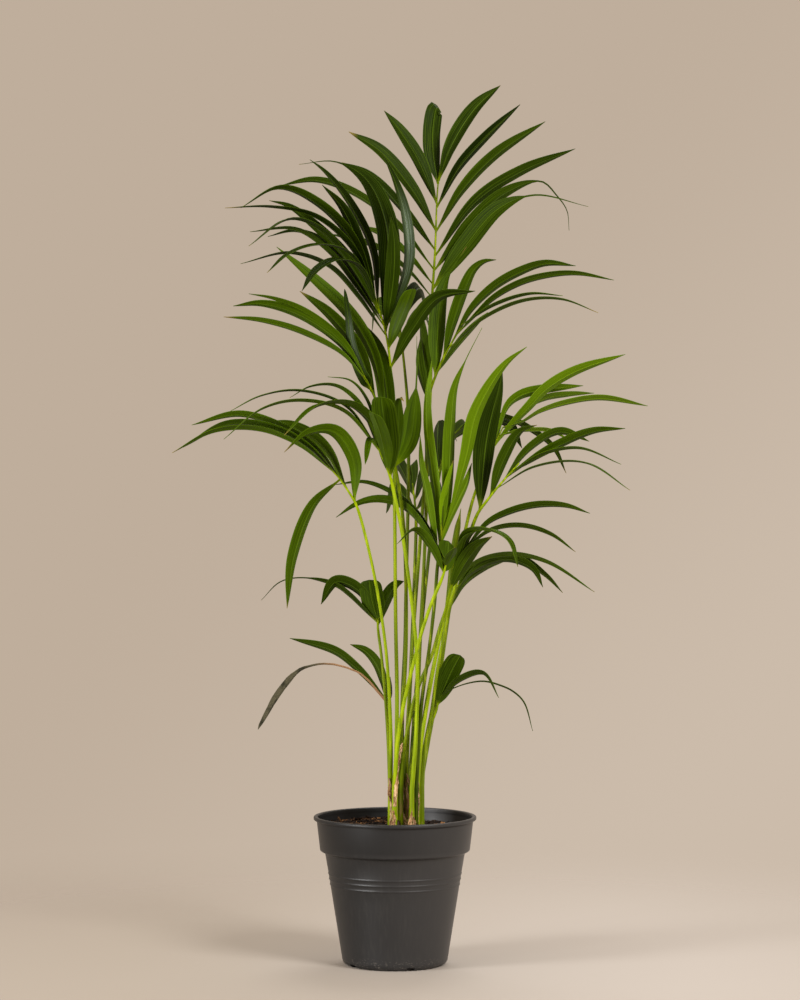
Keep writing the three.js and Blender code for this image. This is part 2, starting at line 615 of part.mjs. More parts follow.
// A sheath is a curved plate round part of a stem, with a torn top edge.
function husk([palm, from, to, foot, top]) {
  const [x, y, halfWide, halfDeep] = STEMS[palm];
  const rings = [];
  for (let row = 0; row <= HUSK.rows; row += 1) {
    const inside = [];
    const outside = [];
    for (let column = 0; column <= HUSK.columns; column += 1) {
      const angle = radians(THREE.MathUtils.lerp(from, to, column / HUSK.columns));
      const torn = row === HUSK.rows ? (column % 2) * HUSK.tear : 0;
      const height = THREE.MathUtils.lerp(foot, top, row / HUSK.rows) - torn;
      const flare = (row / HUSK.rows) ** 2 * HUSK.flare;
      for (const [list, out] of [[inside, HUSK.gap], [outside, HUSK.gap + HUSK.thickness]]) {
        const across = (halfWide + out + flare) * Math.cos(angle);
        const behind = (halfDeep + out + flare) * Math.sin(angle);
        list.push(new THREE.Vector3(x + across, y + behind, height));
      }
    }
    rings.push([...inside, ...outside.reverse()]);
  }
  return solid(skin(rings));
}

// ---------------------------------------------------------------- fronds

// Rings round a curve. Each ring is square to the curve, and radiusAt takes a share of its length.
function tubeRings(curve, shares, radiusAt, sides) {
  const side = new THREE.Vector3(1, 0, 0);
  return shares.map((share) => {
    const centre = curve.getPointAt(share);
    const along = share === 0 ? new THREE.Vector3(0, 0, 1) : curve.getTangentAt(share);
    const u = side.clone().addScaledVector(along, -side.dot(along)).normalize();
    const v = along.clone().cross(u);
    const ring = [];
    for (let i = 0; i < sides; i += 1) {
      const angle = (i / sides) * Math.PI * 2;
      const out = u.clone().multiplyScalar(Math.cos(angle)).addScaledVector(v, Math.sin(angle));
      ring.push(centre.clone().addScaledVector(out, radiusAt(share)));
    }
    return ring;
  });
}

function shares(from, to, count) {
  return Array.from({ length: count + 1 }, (_, i) => THREE.MathUtils.lerp(from, to, i / count));
}

// How wide a leaflet is at each share of its length, as a share of its full width.
function leafletOutline(share) {
  const { broadest } = LEAFLET;
  if (share < broadest) return 1 - (1 - share / broadest) ** 2;
  return 1 - ((share - broadest) / (1 - broadest)) ** 2.3;
}

// The withered leaflet is a string for half its way, and only its end is broad.
function dryOutline(share) {
  return 0.24 + 0.76 * THREE.MathUtils.smoothstep(share, 0.5, 0.72) * (1 - share ** 9);
}

// A blade along a curve. Its section has an edge on each side, and a fold that is higher in the
// middle. The section is carried along the curve without twisting.
function blade(points, width, turn, outline = leafletOutline) {
  const curve = curveThrough(points);
  const length = curve.getLength();
  const wanted = Math.round(length / LEAFLET.step);
  const count = THREE.MathUtils.clamp(wanted, LEAFLET.fewest, LEAFLET.most);
  const direction = Math.sign(points.at(-1).x - points[0].x) || 1;
  const depth = new THREE.Vector3(0, 1, 0);
  let along = curve.getTangentAt(0);
  const flat = along.clone().cross(depth).normalize();
  const across = flat.clone().applyAxisAngle(along, radians(turn) * direction);
  const rings = [];
  for (const share of shares(0, 1, count).slice(0, -1)) {
    const next = curve.getTangentAt(share);
    const step = new THREE.Quaternion().setFromUnitVectors(along, next);
    across.applyQuaternion(step);
    along = next;
    const ridge = along.clone().cross(across).normalize();
    const half = Math.max(LEAFLET.rootWidth, width * outline(share)) / 2;
    const fold = half * LEAFLET.fold * Math.min(1, share * 4);
    const centre = curve.getPointAt(share);
    rings.push([
      centre.clone().addScaledVector(across, -half).addScaledVector(ridge, -fold),
      centre.clone().addScaledVector(ridge, -LEAFLET.thickness / 2),
      centre.clone().addScaledVector(across, half).addScaledVector(ridge, -fold),
      centre.clone().addScaledVector(ridge, LEAFLET.thickness / 2),
    ]);
  }
  return solid(skin(rings, points.at(-1)));
}

// Where each part of a frond runs: one curve from the stalk's foot to the rib's point, and the
// share of it where the stalk ends, a little below the lowest leaflet.
function frondLine({ stalk, rib }) {
  const points = [...stalk, ...rib.slice(1)].map(place);
  points[0].z = STEM.top + STALK.footGap;
  const curve = curveThrough(points);
  const whole = curve.getLength();
  const above = curveThrough(rib.map(place)).getLength();
  return { curve, whole, neck: 1 - (above + RIB.neck) / whole, first: 1 - above / whole };
}

function stalkAndRib(frond) {
  const { curve, whole, neck } = frondLine(frond);
  const { lerp } = THREE.MathUtils;
  const stalkRadius = (share) => lerp(STALK.footRadius, frond.radius, share / neck);
  const ribRadius = (share) => lerp(frond.radius, RIB.tipRadius, (share - neck) / (1 - neck));
  const stalkShares = shares(0, neck, Math.round((whole * neck) / STALK.step));
  const stalkRings = tubeRings(curve, stalkShares, stalkRadius, STALK.sides);
  const up = curve.getTangentAt(neck).multiplyScalar(-STALK.topGap);
  stalkRings.at(-1).forEach((point) => point.add(up));
  const ribShares = shares(neck, 1, Math.max(3, Math.round((whole * (1 - neck)) / RIB.step)));
  const ribRings = tubeRings(curve, ribShares, ribRadius, RIB.sides);
  return { stalk: solid(skin(stalkRings)), rib: solid(skin(ribRings)) };
}

function leaflet(frond, [share, width, turn, ...passes]) {
  const { curve, first } = frondLine(frond);
  const root = curve.getPointAt(THREE.MathUtils.lerp(first, 0.999, share));
  return blade([root, ...passes.map(place)], width, turn);
}

function frondBlade(frond, rib) {
  return frond.leaflets.reduce((whole, row) => whole.add(leaflet(frond, row)), rib);
}

// The withered leaflet starts just clear of the rib that it hangs from.
function dryLeaflet({ frond, leaflet: [share, width, turn, ...passes] }) {
  const { curve, first } = frondLine(FRONDS[frond]);
  const root = curve.getPointAt(THREE.MathUtils.lerp(first, 0.999, share));
  const points = passes.map(place);
  const out = points[0].clone().sub(root).normalize();
  root.addScaledVector(out, FRONDS[frond].radius + 1);
  return blade([root, ...points], width, turn, dryOutline);
}

function spear() {
  const points = SPEAR.passes.map(place);
  points[0].z = STEM.top + STALK.footGap;
  const curve = curveThrough(points);
  const radiusAt = (share) => SPEAR.radius + SPEAR.swell * Math.sin(Math.PI * share ** 3);
  const rings = tubeRings(curve, shares(0, 0.96, SPEAR.rings), radiusAt, STALK.sides);
  return solid(skin(rings, points.at(-1)));
}

// ---------------------------------------------------------------- the whole plant

const palm = new THREE.Group();
palm.name = "potted_palm";

const holes = Object.values(STEMS).map((oval) => stem(oval, STEM.hole, STEM.hole));
palm.add(mesh("pot", pot(), paint(COLOURS.pot, 0.45)));
palm.add(mesh("soil", soil(holes), paint(COLOURS.soil, 0.95)));

for (const [name, oval] of Object.entries(STEMS)) {
  palm.add(mesh(`${name}_stem`, stem(oval), paint(COLOURS.stem, 0.5)));
}

for (const [name, row] of Object.entries(HUSKS)) {
  palm.add(mesh(name, husk(row), paint(COLOURS.husk, 0.85)));
}

for (const [name, frond] of Object.entries(FRONDS)) {
  const { stalk, rib } = stalkAndRib(frond);
  const leafColour = frond.light ? COLOURS.lightLeaf : COLOURS.darkLeaf;
  palm.add(mesh(`stalk_${name}`, stalk, paint(COLOURS.stalk, 0.4)));
  palm.add(mesh(`frond_${name}`, frondBlade(frond, rib), paint(leafColour, 0.42)));
}

palm.add(mesh("dry_leaflet", dryLeaflet(DRY_LEAFLET), paint(COLOURS.dryLeaf, 0.8)));
palm.add(mesh("young_spear", spear(), paint(COLOURS.stalk, 0.45)));

export default palm;
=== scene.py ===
# A potted Kentia palm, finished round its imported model. Blender works in metres here, with +Z up and
# the front towards -Y. Sizes are written in millimetres and multiplied by MM. Colours are written as
# the six digits that a paint program shows.

import math
import random

import bpy
import numpy as np
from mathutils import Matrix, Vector, noise


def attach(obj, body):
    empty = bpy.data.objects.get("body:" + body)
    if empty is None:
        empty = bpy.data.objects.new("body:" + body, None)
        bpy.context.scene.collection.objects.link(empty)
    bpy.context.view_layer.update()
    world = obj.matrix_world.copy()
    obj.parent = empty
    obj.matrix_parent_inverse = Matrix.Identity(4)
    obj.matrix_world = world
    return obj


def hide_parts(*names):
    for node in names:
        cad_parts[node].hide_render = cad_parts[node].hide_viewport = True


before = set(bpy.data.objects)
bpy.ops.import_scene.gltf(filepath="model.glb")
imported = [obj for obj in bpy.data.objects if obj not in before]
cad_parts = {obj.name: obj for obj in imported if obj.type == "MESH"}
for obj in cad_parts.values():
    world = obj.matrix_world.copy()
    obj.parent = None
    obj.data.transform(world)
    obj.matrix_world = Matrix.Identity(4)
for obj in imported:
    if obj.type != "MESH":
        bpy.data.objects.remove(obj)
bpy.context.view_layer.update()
MM = 0.001

# ------------------------------------------------------------------------------------ camera
# The plant was photographed from straight in front with a long lens, from a little above its
# middle. The same eye is used below to place each leaflet along its line of sight.

EYE = np.array([7.4, -4600.0, 750.0])
LENS = 112.5
SENSOR = 36
TILT = 0.827


def add(name, operator, **settings):
    """Adds an object with nothing else selected, and names it."""
    bpy.ops.object.select_all(action="DESELECT")
    operator(**settings)
    added = bpy.context.object
    added.name = added.data.name = name
    return added


look_down = (math.radians(90 - TILT), 0, 0)
camera = add("camera", bpy.ops.object.camera_add, location=EYE * MM, rotation=look_down)
camera.data.lens = LENS
camera.data.sensor_width = SENSOR
bpy.context.scene.camera = camera
bpy.context.scene.view_settings.view_transform = "Standard"

# ------------------------------------------------------------------------------------ nursery pot
# One injection-moulded piece of black polypropylene: a rolled lip, a deep band under it, a step,
# a tapering wall with three raised rings and a rounded foot with drain slots. It has fine upright
# drag marks from the mould and scuffs near the foot from standing in trays. Painted light lightens
# its right side, painted shade darkens its left, and a painted shadow lies under the lip.

POT_HEIGHT = 218
LIP_RADIUS = 120
LIP_HEIGHT = 5.8
LIP_BEAD = 2.1
LIP_NECK = 0.3
LIP_LEVEL = POT_HEIGHT - LIP_HEIGHT
BAND_TOP = 115.5
BAND_FOOT = 110.5
BAND_HEIGHT = 46.2
BAND_LEVEL = LIP_LEVEL - BAND_HEIGHT
STEP = 2.8
SHOULDER = 103
BASE = 76.6
STAND = 68.8
FOOT_ROUNDING = 10
WALL = 1.8
FLOOR = 2.4
WALL_LEVELS = (40, 70, 98)
RINGS = (118, 126, 134)
RING_HEIGHT = 4.5
RING_RELIEF = 0.7
SLOTS = 5
SLOT_BOX = (20, 12, 10)
POT_SIDES = 128
BEND_STEPS = 8
BEAD_STEPS = 6

POT_BLACK = "121315"
# Painted light: the grey that the pot's right side is lightened to.
POT_PAINTED_LIGHT = "333232"
DRAG_GREY = "45433F"
BAND_BLACK = "0E0F11"
# Painted shadow: the colour of the dark line under the lip.
LIP_SHADOW_BLACK = "050506"
SCUFF_GREY = "7E776E"
# Painted light and shade: the span over which the pot goes from darker at the left to lighter at the
# right.
PAINTED_LIGHT_SPAN = (-100, 90)
BAND_SHADE = (BAND_LEVEL + 4, BAND_LEVEL + 10)
# The painted shadow under the lip, from its foot to its top.
LIP_SHADOW_FOOT = (LIP_LEVEL - 2.4, LIP_LEVEL - 1)
LIP_SHADOW_TOP = (LIP_LEVEL + 0.2, LIP_LEVEL + 1.4)
SCUFF_REACH = (6, 22)
DRAG_MARKS = (260, 260, 5)
SCUFF_MARKS = (240, 240, 700)
NOISE_ROUGHNESS = 0.55


class Value:
    """A number that changes over a surface: a shader socket that Python's operators work on."""

    def __init__(self, nodes, socket):
        self.nodes = nodes
        self.socket = socket

    def maths(self, operation, first, second=None):
        inputs = {0: first} if second is None else {0: first, 1: second}
        return self.nodes.node("ShaderNodeMath", inputs, operation=operation)

    def __add__(self, other):
        return self.maths("ADD", self, other)

    def __sub__(self, other):
        return self.maths("SUBTRACT", self, other)

    def __rsub__(self, other):
        return self.maths("SUBTRACT", other, self)

    def __mul__(self, other):
        return self.maths("MULTIPLY", self, other)

    def __abs__(self):
        return self.maths("ABSOLUTE", self)

    def sine(self):
        return self.maths("SINE", self)

    def fade(self, low, high, at_low=0.0, at_high=1.0):
        """Goes smoothly from at_low to at_high as the value goes from low to high."""
        inputs = {0: self, 1: low, 2: high, 3: at_low, 4: at_high}
        return self.nodes.node("ShaderNodeMapRange", inputs, interpolation_type="SMOOTHSTEP")

    def fall(self, low, high):
        """Goes smoothly from one to nothing."""
        return self.fade(low, high, 1.0, 0.0)

    __radd__ = __add__
    __rmul__ = __mul__


def colour(text):
    """The linear colour, with its alpha, of six digits."""
    levels = [int(text[i : i + 2], 16) / 255 for i in (0, 2, 4)]
    linear = [x / 12.92 if x < 0.04045 else ((x + 0.055) / 1.055) ** 2.4 for x in levels]
    return (*linear, 1)


class Nodes:
    """A node tree round its one shader, with nodes added by name."""

    def __init__(self, tree, shader):
        self.tree = tree
        self.shader = tree.nodes[shader]

    def join(self, socket, value):
        """Links a value to a socket, or sets the socket to a number, a colour's text or a tuple."""
        if isinstance(value, Value):
            self.tree.links.new(value.socket, socket)
        else:
            socket.default_value = colour(value) if isinstance(value, str) else value

    def put(self, socket, value):
        """Joins a value to a socket of the shader."""
        self.join(self.shader.inputs[socket], value)

    def node(self, kind, inputs=None, output=0, **settings):
        """Adds a node, with its settings first, and gives one of its outputs as a Value."""
        node = self.tree.nodes.new(kind)
        for setting, value in settings.items():
            setattr(node, setting, value)
        for key, value in (inputs or {}).items():
            self.join(node.inputs[key], value)
        return Value(self, node.outputs[output])

    def mix(self, share, first, second):
        """Two colours mixed, the second one by share."""
        inputs = {0: share, 6: first, 7: second}
        return self.node("ShaderNodeMix", inputs, output=2, data_type="RGBA")


class Finish(Nodes):
    """A material round one Principled shader."""

    def __init__(self, name, **sockets):
        self.material = bpy.data.materials.new(name)
        self.material.use_nodes = True
        super().__init__(self.material.node_tree, "Principled BSDF")
        for socket, value in sockets.items():
            self.put(socket.replace("_", " "), value)

    def coords(self):
        return self.node("ShaderNodeTexCoord", output="Object")

    def millimetres(self, axis):
        """How far along an axis each point of the piece is."""
        return self.node("ShaderNodeSeparateXYZ", {0: self.coords()}, output=axis) * (1 / MM)

    def written(self, name):
        """A number that mark has written on the points of the piece."""
        return self.node("ShaderNodeAttribute", output="Fac", attribute_name=name)

    def speckle(self, pace, detail, vector=None):
        """Noise with so many lumps to the metre: one number, or one for each axis."""
        pace = pace if isinstance(pace, tuple) else (pace, pace, pace)
        inputs = {"Vector": vector or self.coords(), "Scale": pace}
        inputs = {"Vector": self.node("ShaderNodeMapping", inputs), "Scale": 1, "Detail": detail}
        return self.node("ShaderNodeTexNoise", {**inputs, "Roughness": NOISE_ROUGHNESS})

    def bump(self, height, distance, strength):
        """Fine relief, so many millimetres high where the height is one."""
        inputs = {"Strength": strength, "Distance": distance * MM, "Height": height}
        self.put("Normal", self.node("ShaderNodeBump", inputs))


def pick(*pieces):
    """Selects these pieces and nothing else. The last one is the active one."""
    bpy.ops.object.select_all(action="DESELECT")
    for piece in pieces:
        piece.select_set(True)
        bpy.context.view_layer.objects.active = piece


def apply_modifier(piece, kind, **settings):
    """Puts a modifier with these settings on a piece, and applies it."""
    modifier = piece.modifiers.new(kind.title(), kind)
    for setting, value in settings.items():
        setattr(modifier, setting, value)
    pick(piece)
    bpy.ops.object.modifier_apply(modifier=modifier.name)


def raised(name, outline, sides):
    """A solid of revolution, raised as by hand: a disc is extruded and scaled from each
    (radius, height) of the outline to the next."""
    radius, height = outline[0]
    piece = add(name, bpy.ops.mesh.primitive_circle_add, vertices=sides, radius=radius * MM,
                fill_type="NGON", location=(0, 0, height * MM))
    bpy.ops.object.transform_apply(location=True, rotation=False, scale=False)
    bpy.ops.object.mode_set(mode="EDIT")
    for new_radius, new_height in outline[1:]:
        rise = (0, 0, (new_height - height) * MM)
        bpy.ops.mesh.extrude_region_move(TRANSFORM_OT_translate={"value": rise})
        grow = new_radius / radius
        bpy.ops.transform.resize(value=(grow, grow, 1), center_override=(0, 0, 0))
        radius, height = new_radius, new_height
    bpy.ops.mesh.select_all(action="SELECT")
    bpy.ops.mesh.normals_make_consistent(inside=False)
    bpy.ops.object.mode_set(mode="OBJECT")
    return piece


def arc(radius_at, height_at, bend, first, last):
    """Points of an arc in an outline, by its middle, its bend radius and its two angles."""
    turned = [first + (last - first) * step / BEAD_STEPS for step in range(BEAD_STEPS + 1)]
    angles = [math.radians(angle) for angle in turned]
    return [(radius_at + bend * math.cos(a), height_at + bend * math.sin(a)) for a in angles]


def smooth(share):
    """A share from nothing to one that starts and ends gently."""
    share = min(1.0, max(0.0, share))
    return share * share * (3 - 2 * share)


def pot_radius(height):
    """The outside of the tapering wall under the step."""
    return BASE + (SHOULDER - BASE) * height / BAND_LEVEL


def pot_outline():
    """Up the outside from the foot, over the lip, and down the inside to the floor."""
    bends = [step / BEND_STEPS for step in range(BEND_STEPS + 1)]
    foot_edge = pot_radius(FOOT_ROUNDING)
    outline = []
    for share in bends:
        angle = math.radians(90 * share)
        radius = STAND + (foot_edge - STAND) * math.sin(angle)
        outline.append((radius, FOOT_ROUNDING * (1 - math.cos(angle))))
    for height in WALL_LEVELS:
        outline.append((pot_radius(height), height))
    for ring in RINGS:
        for share in bends:
            height = ring + RING_HEIGHT * (share - 0.5)
            relief = RING_RELIEF * math.sin(math.pi * share) ** 2
            outline.append((pot_radius(height) + relief, height))
    for share in bends:
        radius = SHOULDER + (BAND_FOOT - SHOULDER) * smooth(share)
        outline.append((radius, BAND_LEVEL - STEP + 2 * STEP * share))
    outline.append((BAND_TOP, LIP_LEVEL))
    bead = LIP_RADIUS - LIP_BEAD
    inner_bead = BAND_TOP - WALL + LIP_BEAD
    outline += arc(bead, LIP_LEVEL + LIP_BEAD + LIP_NECK, LIP_BEAD, -90, 0)
    outline += arc(bead, POT_HEIGHT - LIP_BEAD, LIP_BEAD, 0, 90)
    outline += arc(inner_bead, POT_HEIGHT - LIP_BEAD, LIP_BEAD, 90, 180)
    outline.append((BAND_TOP - WALL, LIP_LEVEL))
    for share in bends[::2]:
        radius = BAND_FOOT + (SHOULDER - BAND_FOOT) * smooth(share)
        outline.append((radius - WALL, BAND_LEVEL + STEP - 2 * STEP * share))
    outline.append((pot_radius(FOOT_ROUNDING + FLOOR) - WALL, FOOT_ROUNDING + FLOOR))
    outline.append((foot_edge - WALL - FOOT_ROUNDING, FLOOR))
    return outline


def cut_slots(pot):
    """The drain slots: one box for each, half of it under the pot, cut out of the foot's edge."""
    for slot in range(SLOTS):
        angle = math.tau * slot / SLOTS
        middle = Vector((math.cos(angle), math.sin(angle), 0)) * BASE * MM
        cutter = add("slot_cutter", bpy.ops.mesh.primitive_cube_add, size=1, location=middle,
                     rotation=(0, 0, angle))
        cutter.scale = Vector(SLOT_BOX) * MM
        apply_modifier(pot, "BOOLEAN", object=cutter, operation="DIFFERENCE", solver="EXACT")
        bpy.data.objects.remove(cutter)


def pot_finish():
    """Painted light lightens the right side and painted shade darkens the left. The band is darker,
    less so under the painted light, a painted shadow lies under the lip, and the foot is scuffed."""
    finish = Finish("moulded_black_plastic", IOR=1.49, Specular_IOR_Level=0.42)
    height = finish.millimetres("Z")
    cloud = finish.speckle(9, detail=2)
    grain = finish.speckle(900, detail=2)
    drag = finish.speckle(DRAG_MARKS, detail=4)
    # Painted light and shade: the right side is painted lighter and the left darker.
    painted_light = finish.millimetres("X").fade(*PAINTED_LIGHT_SPAN)
    band = height.fade(*BAND_SHADE)
    # A painted shadow: a dark line under the lip, where the lip's overhang shades the band.
    painted_lip_shadow = height.fade(*LIP_SHADOW_FOOT) * height.fall(*LIP_SHADOW_TOP)
    scuff = finish.speckle(SCUFF_MARKS, detail=5).fade(0.56, 0.68) * height.fall(*SCUFF_REACH)
    base = finish.mix(painted_light + cloud * 0.2 - 0.1, POT_BLACK, POT_PAINTED_LIGHT)
    base = finish.mix(drag.fade(0.45, 0.75) * 0.12, base, DRAG_GREY)
    # The band is painted darker, less so towards the painted light on the right.
    base = finish.mix(band * (1 - painted_light * 0.8) * 0.8, base, BAND_BLACK)
    base = finish.mix(painted_lip_shadow * 0.85, base, LIP_SHADOW_BLACK)
    base = finish.mix(scuff * 0.5, base, SCUFF_GREY)
    finish.put("Base Color", base)
    finish.put("Roughness", 0.36 + cloud * 0.08 + drag * 0.03 + scuff * 0.3)
    finish.bump(grain * 0.4 + drag * 0.1, distance=0.1, strength=0.5)
    return finish


def settle(piece, finish, node, crease=50):
    """The last steps of a piece: its shading, with edges past so many degrees left sharp, its
    material, its body and the node that it stands for."""
    pick(piece)
    bpy.ops.object.shade_smooth_by_angle(angle=math.radians(crease))
    piece.data.materials.clear()
    piece.data.materials.append(finish.material)
    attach(piece, "root")
    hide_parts(node)


nursery_pot = raised("nursery_pot", pot_outline(), POT_SIDES)
cut_slots(nursery_pot)
settle(nursery_pot, pot_finish(), "pot", crease=40)

# ------------------------------------------------------------------------------------ potting soil
# Bark and coir compost that fills the pot to a finger's width below the lip, a little higher at
# the back left. Its top is crumbly, with loose bark chips and coir fibres lying on it.

SOIL_LEVEL = 197
SOIL_MOUND = 7
MOUND_FALL = (130, 300)
SOIL_WAVES = 1.1
RIPPLES = (4.8, 5.9)
SWELLS = (11, 7.7)
SOIL_GAP = 0.7
SOIL_LIFT = 0.3
SOIL_SIDES = 120
SOIL_RINGS = 44
CRUMB = 1.6
CRUMB_PACE = 130
CRUMB_FRACTAL = (0.6, 2.1, 5)
LUMP_PACE = 55
SEED = 12

CHIPS = 620
CHIP_BLANKS = [(1, 0.62, 0.34), (1, 0.8, 0.16), (1, 0.22, 0.18)]
CHIP_BEVEL = 0.07
CHIP_WEAR = 0.09
CHIP_WEAR_PACE = 3.1
CHIP_EDGE = 6
CHIP_ROOM = 3
SMALL_CHIPS = (2.8, 5.5)
LARGE_CHIPS = (5.5, 10)
SMALL_SHARE = 0.82
CHIP_TILT = (0.45, 0.4)
CHIP_WIDTHS = (0.7, 1.1)
CHIP_DEPTHS = (0.7, 1.2)
CHIP_LIFT = 0.16
CHIP_PALENESS = 14

FIBRES = 140
FIBRE_EDGE = 22
FIBRE_ROOM = 9
FIBRE_LENGTHS = (8, 22)
FIBRE_BEND = 1.4
FIBRE_RADII = (0.18, 0.34)
FIBRE_LIFT = 1.6
FIBRE_ARCH = 1.5
FIBRE_POINTS = 6
FIBRE_PALENESS = 3

# One large chip leans on the pot at the left. Its place, its lift, its size and its turns.
LEANING_CHIP = (-81, 14, 5.5, 13, (0.9, 1.05, 0.3))

SOIL_BLACK = "090604"
SOIL_BROWN = "20130A"
CRUMB_BROWN = "4C311E"
BARK_TAN = "9C7048"

# The five young palms' ovals in the soil: across, behind, half width and half depth.
PALMS = {
    "palm_1": (-7, 13, 6.4, 13.4),
    "palm_2": (3.5, -11, 9, 15.4),
    "palm_3": (16, 25, 10.2, 14.4),
    "palm_4": (29, -18, 8.4, 13.6),
    "palm_5": (37, 19, 7.8, 17),
}


def soil_height(x, y):
    """Low waves, on a mound that falls away to the right and the front."""
    waves = math.sin(x / RIPPLES[0] + 1) * math.cos(y / RIPPLES[1])
    waves += math.sin(x / SWELLS[0] - y / SWELLS[1])
    mound = min(1, max(0, 0.5 - x / MOUND_FALL[0] + y / MOUND_FALL[1]))
    return SOIL_LEVEL + mound * SOIL_MOUND + waves * SOIL_WAVES


def clear_of_palms(x, y, room):
    """True where a point of the soil's top is this far outside every palm."""
    for middle_x, middle_y, wide, deep in PALMS.values():
        if ((x - middle_x) / (wide + room)) ** 2 + ((y - middle_y) / (deep + room)) ** 2 < 1:
            return False
    return True


def soil_body():
    """The compost: the pot's inside, a little smaller, with a top that is raised into crumbs."""
    inside = WALL + SOIL_GAP
    above_foot = FLOOR + FOOT_ROUNDING * 1.4
    below_step = BAND_LEVEL - STEP
    above_step = BAND_LEVEL + STEP * 1.6
    edge = BAND_FOOT - inside
    outline = [(pot_radius(FOOT_ROUNDING) - inside - FOOT_ROUNDING, FLOOR + SOIL_LIFT)]
    outline += [(pot_radius(height) - inside, height) for height in (above_foot, below_step)]
    outline.append((edge, above_step))
    outline += [(edge * (1 - ring / SOIL_RINGS), SOIL_LEVEL) for ring in range(SOIL_RINGS)]
    soil = raised("soil_body", outline, SOIL_SIDES)
    for point in soil.data.vertices:
        x, y, z = point.co / MM
        if z > SOIL_LEVEL - 1:
            crumbs = noise.fractal(point.co * CRUMB_PACE, *CRUMB_FRACTAL) * CRUMB
            lumps = noise.noise(point.co * LUMP_PACE) * CRUMB
            point.co.z = (soil_height(x, y) + crumbs + lumps) * MM
    return soil


def join(name, pieces):
    """Joins pieces into the first one."""
    pick(*reversed(pieces))
    bpy.ops.object.join()
    whole = bpy.context.object
    whole.name = whole.data.name = name
    return whole


def chip_blanks():
    """Three kinds of bark chip: a block with its edges taken off, a flat flake and a splinter."""
    blanks = []
    for number, size in enumerate(CHIP_BLANKS):
        chip = add("chip_blank", bpy.ops.mesh.primitive_cube_add, size=1)
        chip.scale = size
        bpy.ops.object.transform_apply(location=False, rotation=False, scale=True)
        bpy.ops.object.mode_set(mode="EDIT")
        bpy.ops.mesh.select_all(action="SELECT")
        bpy.ops.mesh.bevel(offset=CHIP_BEVEL, segments=1)
        bpy.ops.mesh.subdivide(number_cuts=1)
        bpy.ops.object.mode_set(mode="OBJECT")
        for point in chip.data.vertices:
            spot = point.co * CHIP_WEAR_PACE + Vector((number, 0, 0))
            point.co += Vector(noise.noise_vector(spot)) * CHIP_WEAR
        blanks.append(chip)
    return blanks


def mark(piece, **values):
    """Writes numbers on a piece's points for its material: one for all of them, or one for each."""
    for name, value in values.items():
        attribute = piece.data.attributes.new(name, "FLOAT", "POINT")
        each = np.full(len(piece.data.vertices), value, np.float32)
        attribute.data.foreach_set("value", each)


def somewhere(rng, reach):
    """A spot in a circle: its radius and its two coordinates."""
    angle = rng.uniform(0, math.tau)
    radius = reach * math.sqrt(rng.random())
    return radius, radius * math.cos(angle), radius * math.sin(angle)


def scatter_chips(rng):
    """The leaning chip, and loose bark at chance spots."""
    blanks = chip_blanks()
    reach = BAND_FOOT - WALL - CHIP_EDGE
    spots = [LEANING_CHIP]
    while len(spots) < CHIPS:
        radius, x, y = somewhere(rng, reach)
        size = rng.uniform(*(SMALL_CHIPS if rng.random() < SMALL_SHARE else LARGE_CHIPS))
        if clear_of_palms(x, y, CHIP_ROOM) and radius + size / 2 < reach + CHIP_ROOM:
            turns = (rng.gauss(0, CHIP_TILT[0]), rng.gauss(0, CHIP_TILT[1]), rng.uniform(0, math.tau))
            spots.append((x, y, size * CHIP_LIFT, size, turns))
    chips = []
    for number, (x, y, lift, size, turns) in enumerate(spots):
        chip = blanks[(number + 2) % 3].copy()
        chip.data = chip.data.copy()
        bpy.context.collection.objects.link(chip)
        stretch = (1, rng.uniform(*CHIP_WIDTHS), rng.uniform(*CHIP_DEPTHS))
        chip.location = Vector((x, y, soil_height(x, y) + lift)) * MM
        chip.rotation_euler = turns
        chip.scale = Vector(stretch) * size * MM
        mark(chip, pale=rng.random() ** CHIP_PALENESS)
        chips.append(chip)
    for blank in blanks:
        bpy.data.objects.remove(blank)
    return chips


def rod(name, line, radii, sides):
    """A round rod along a line of points, in millimetres: a curve with a bevel, made a closed mesh."""
    curve = bpy.data.curves.new(name, "CURVE")
    curve.dimensions = "3D"
    curve.bevel_depth = 1
    curve.bevel_resolution = (sides - 4) // 2
    curve.use_fill_caps = True
    spline = curve.splines.new("POLY")
    spline.points.add(len(line) - 1)
    for point, spot, radius in zip(spline.points, line, radii):
        point.co = (*[number * MM for number in spot], 1)
        point.radius = radius * MM
    piece = bpy.data.objects.new(name, curve)
    bpy.context.collection.objects.link(piece)
    pick(piece)
    bpy.ops.object.convert(target="MESH")
    bpy.ops.object.mode_set(mode="EDIT")
    bpy.ops.mesh.select_all(action="SELECT")
    bpy.ops.mesh.remove_doubles(threshold=1e-6)
    bpy.ops.mesh.normals_make_consistent(inside=False)
    bpy.ops.object.mode_set(mode="OBJECT")
    return bpy.context.object


def coir_fibres(rng):
    """Short bent fibres that lie on the soil, with their middles raised a little."""
    fibres = []
    while len(fibres) < FIBRES:
        _, x, y = somewhere(rng, BAND_FOOT - FIBRE_EDGE)
        if not clear_of_palms(x, y, FIBRE_ROOM):
            continue
        heading = rng.uniform(0, math.tau)
        length = rng.uniform(*FIBRE_LENGTHS)
        bend = rng.uniform(-FIBRE_BEND, FIBRE_BEND)
        line = []
        for step in range(FIBRE_POINTS):
            share = step / (FIBRE_POINTS - 1) - 0.5
            way = heading + bend * share
            px, py = x + length * share * math.cos(way), y + length * share * math.sin(way)
            lift = FIBRE_LIFT + FIBRE_ARCH * math.cos(math.pi * share) * rng.random()
            line.append((px, py, soil_height(px, py) + lift))
        radius = rng.uniform(*FIBRE_RADII)
        fibre = rod("fibre", line, [radius] * FIBRE_POINTS, sides=4)
        mark(fibre, pale=rng.random() ** FIBRE_PALENESS)
        fibres.append(fibre)
    return fibres


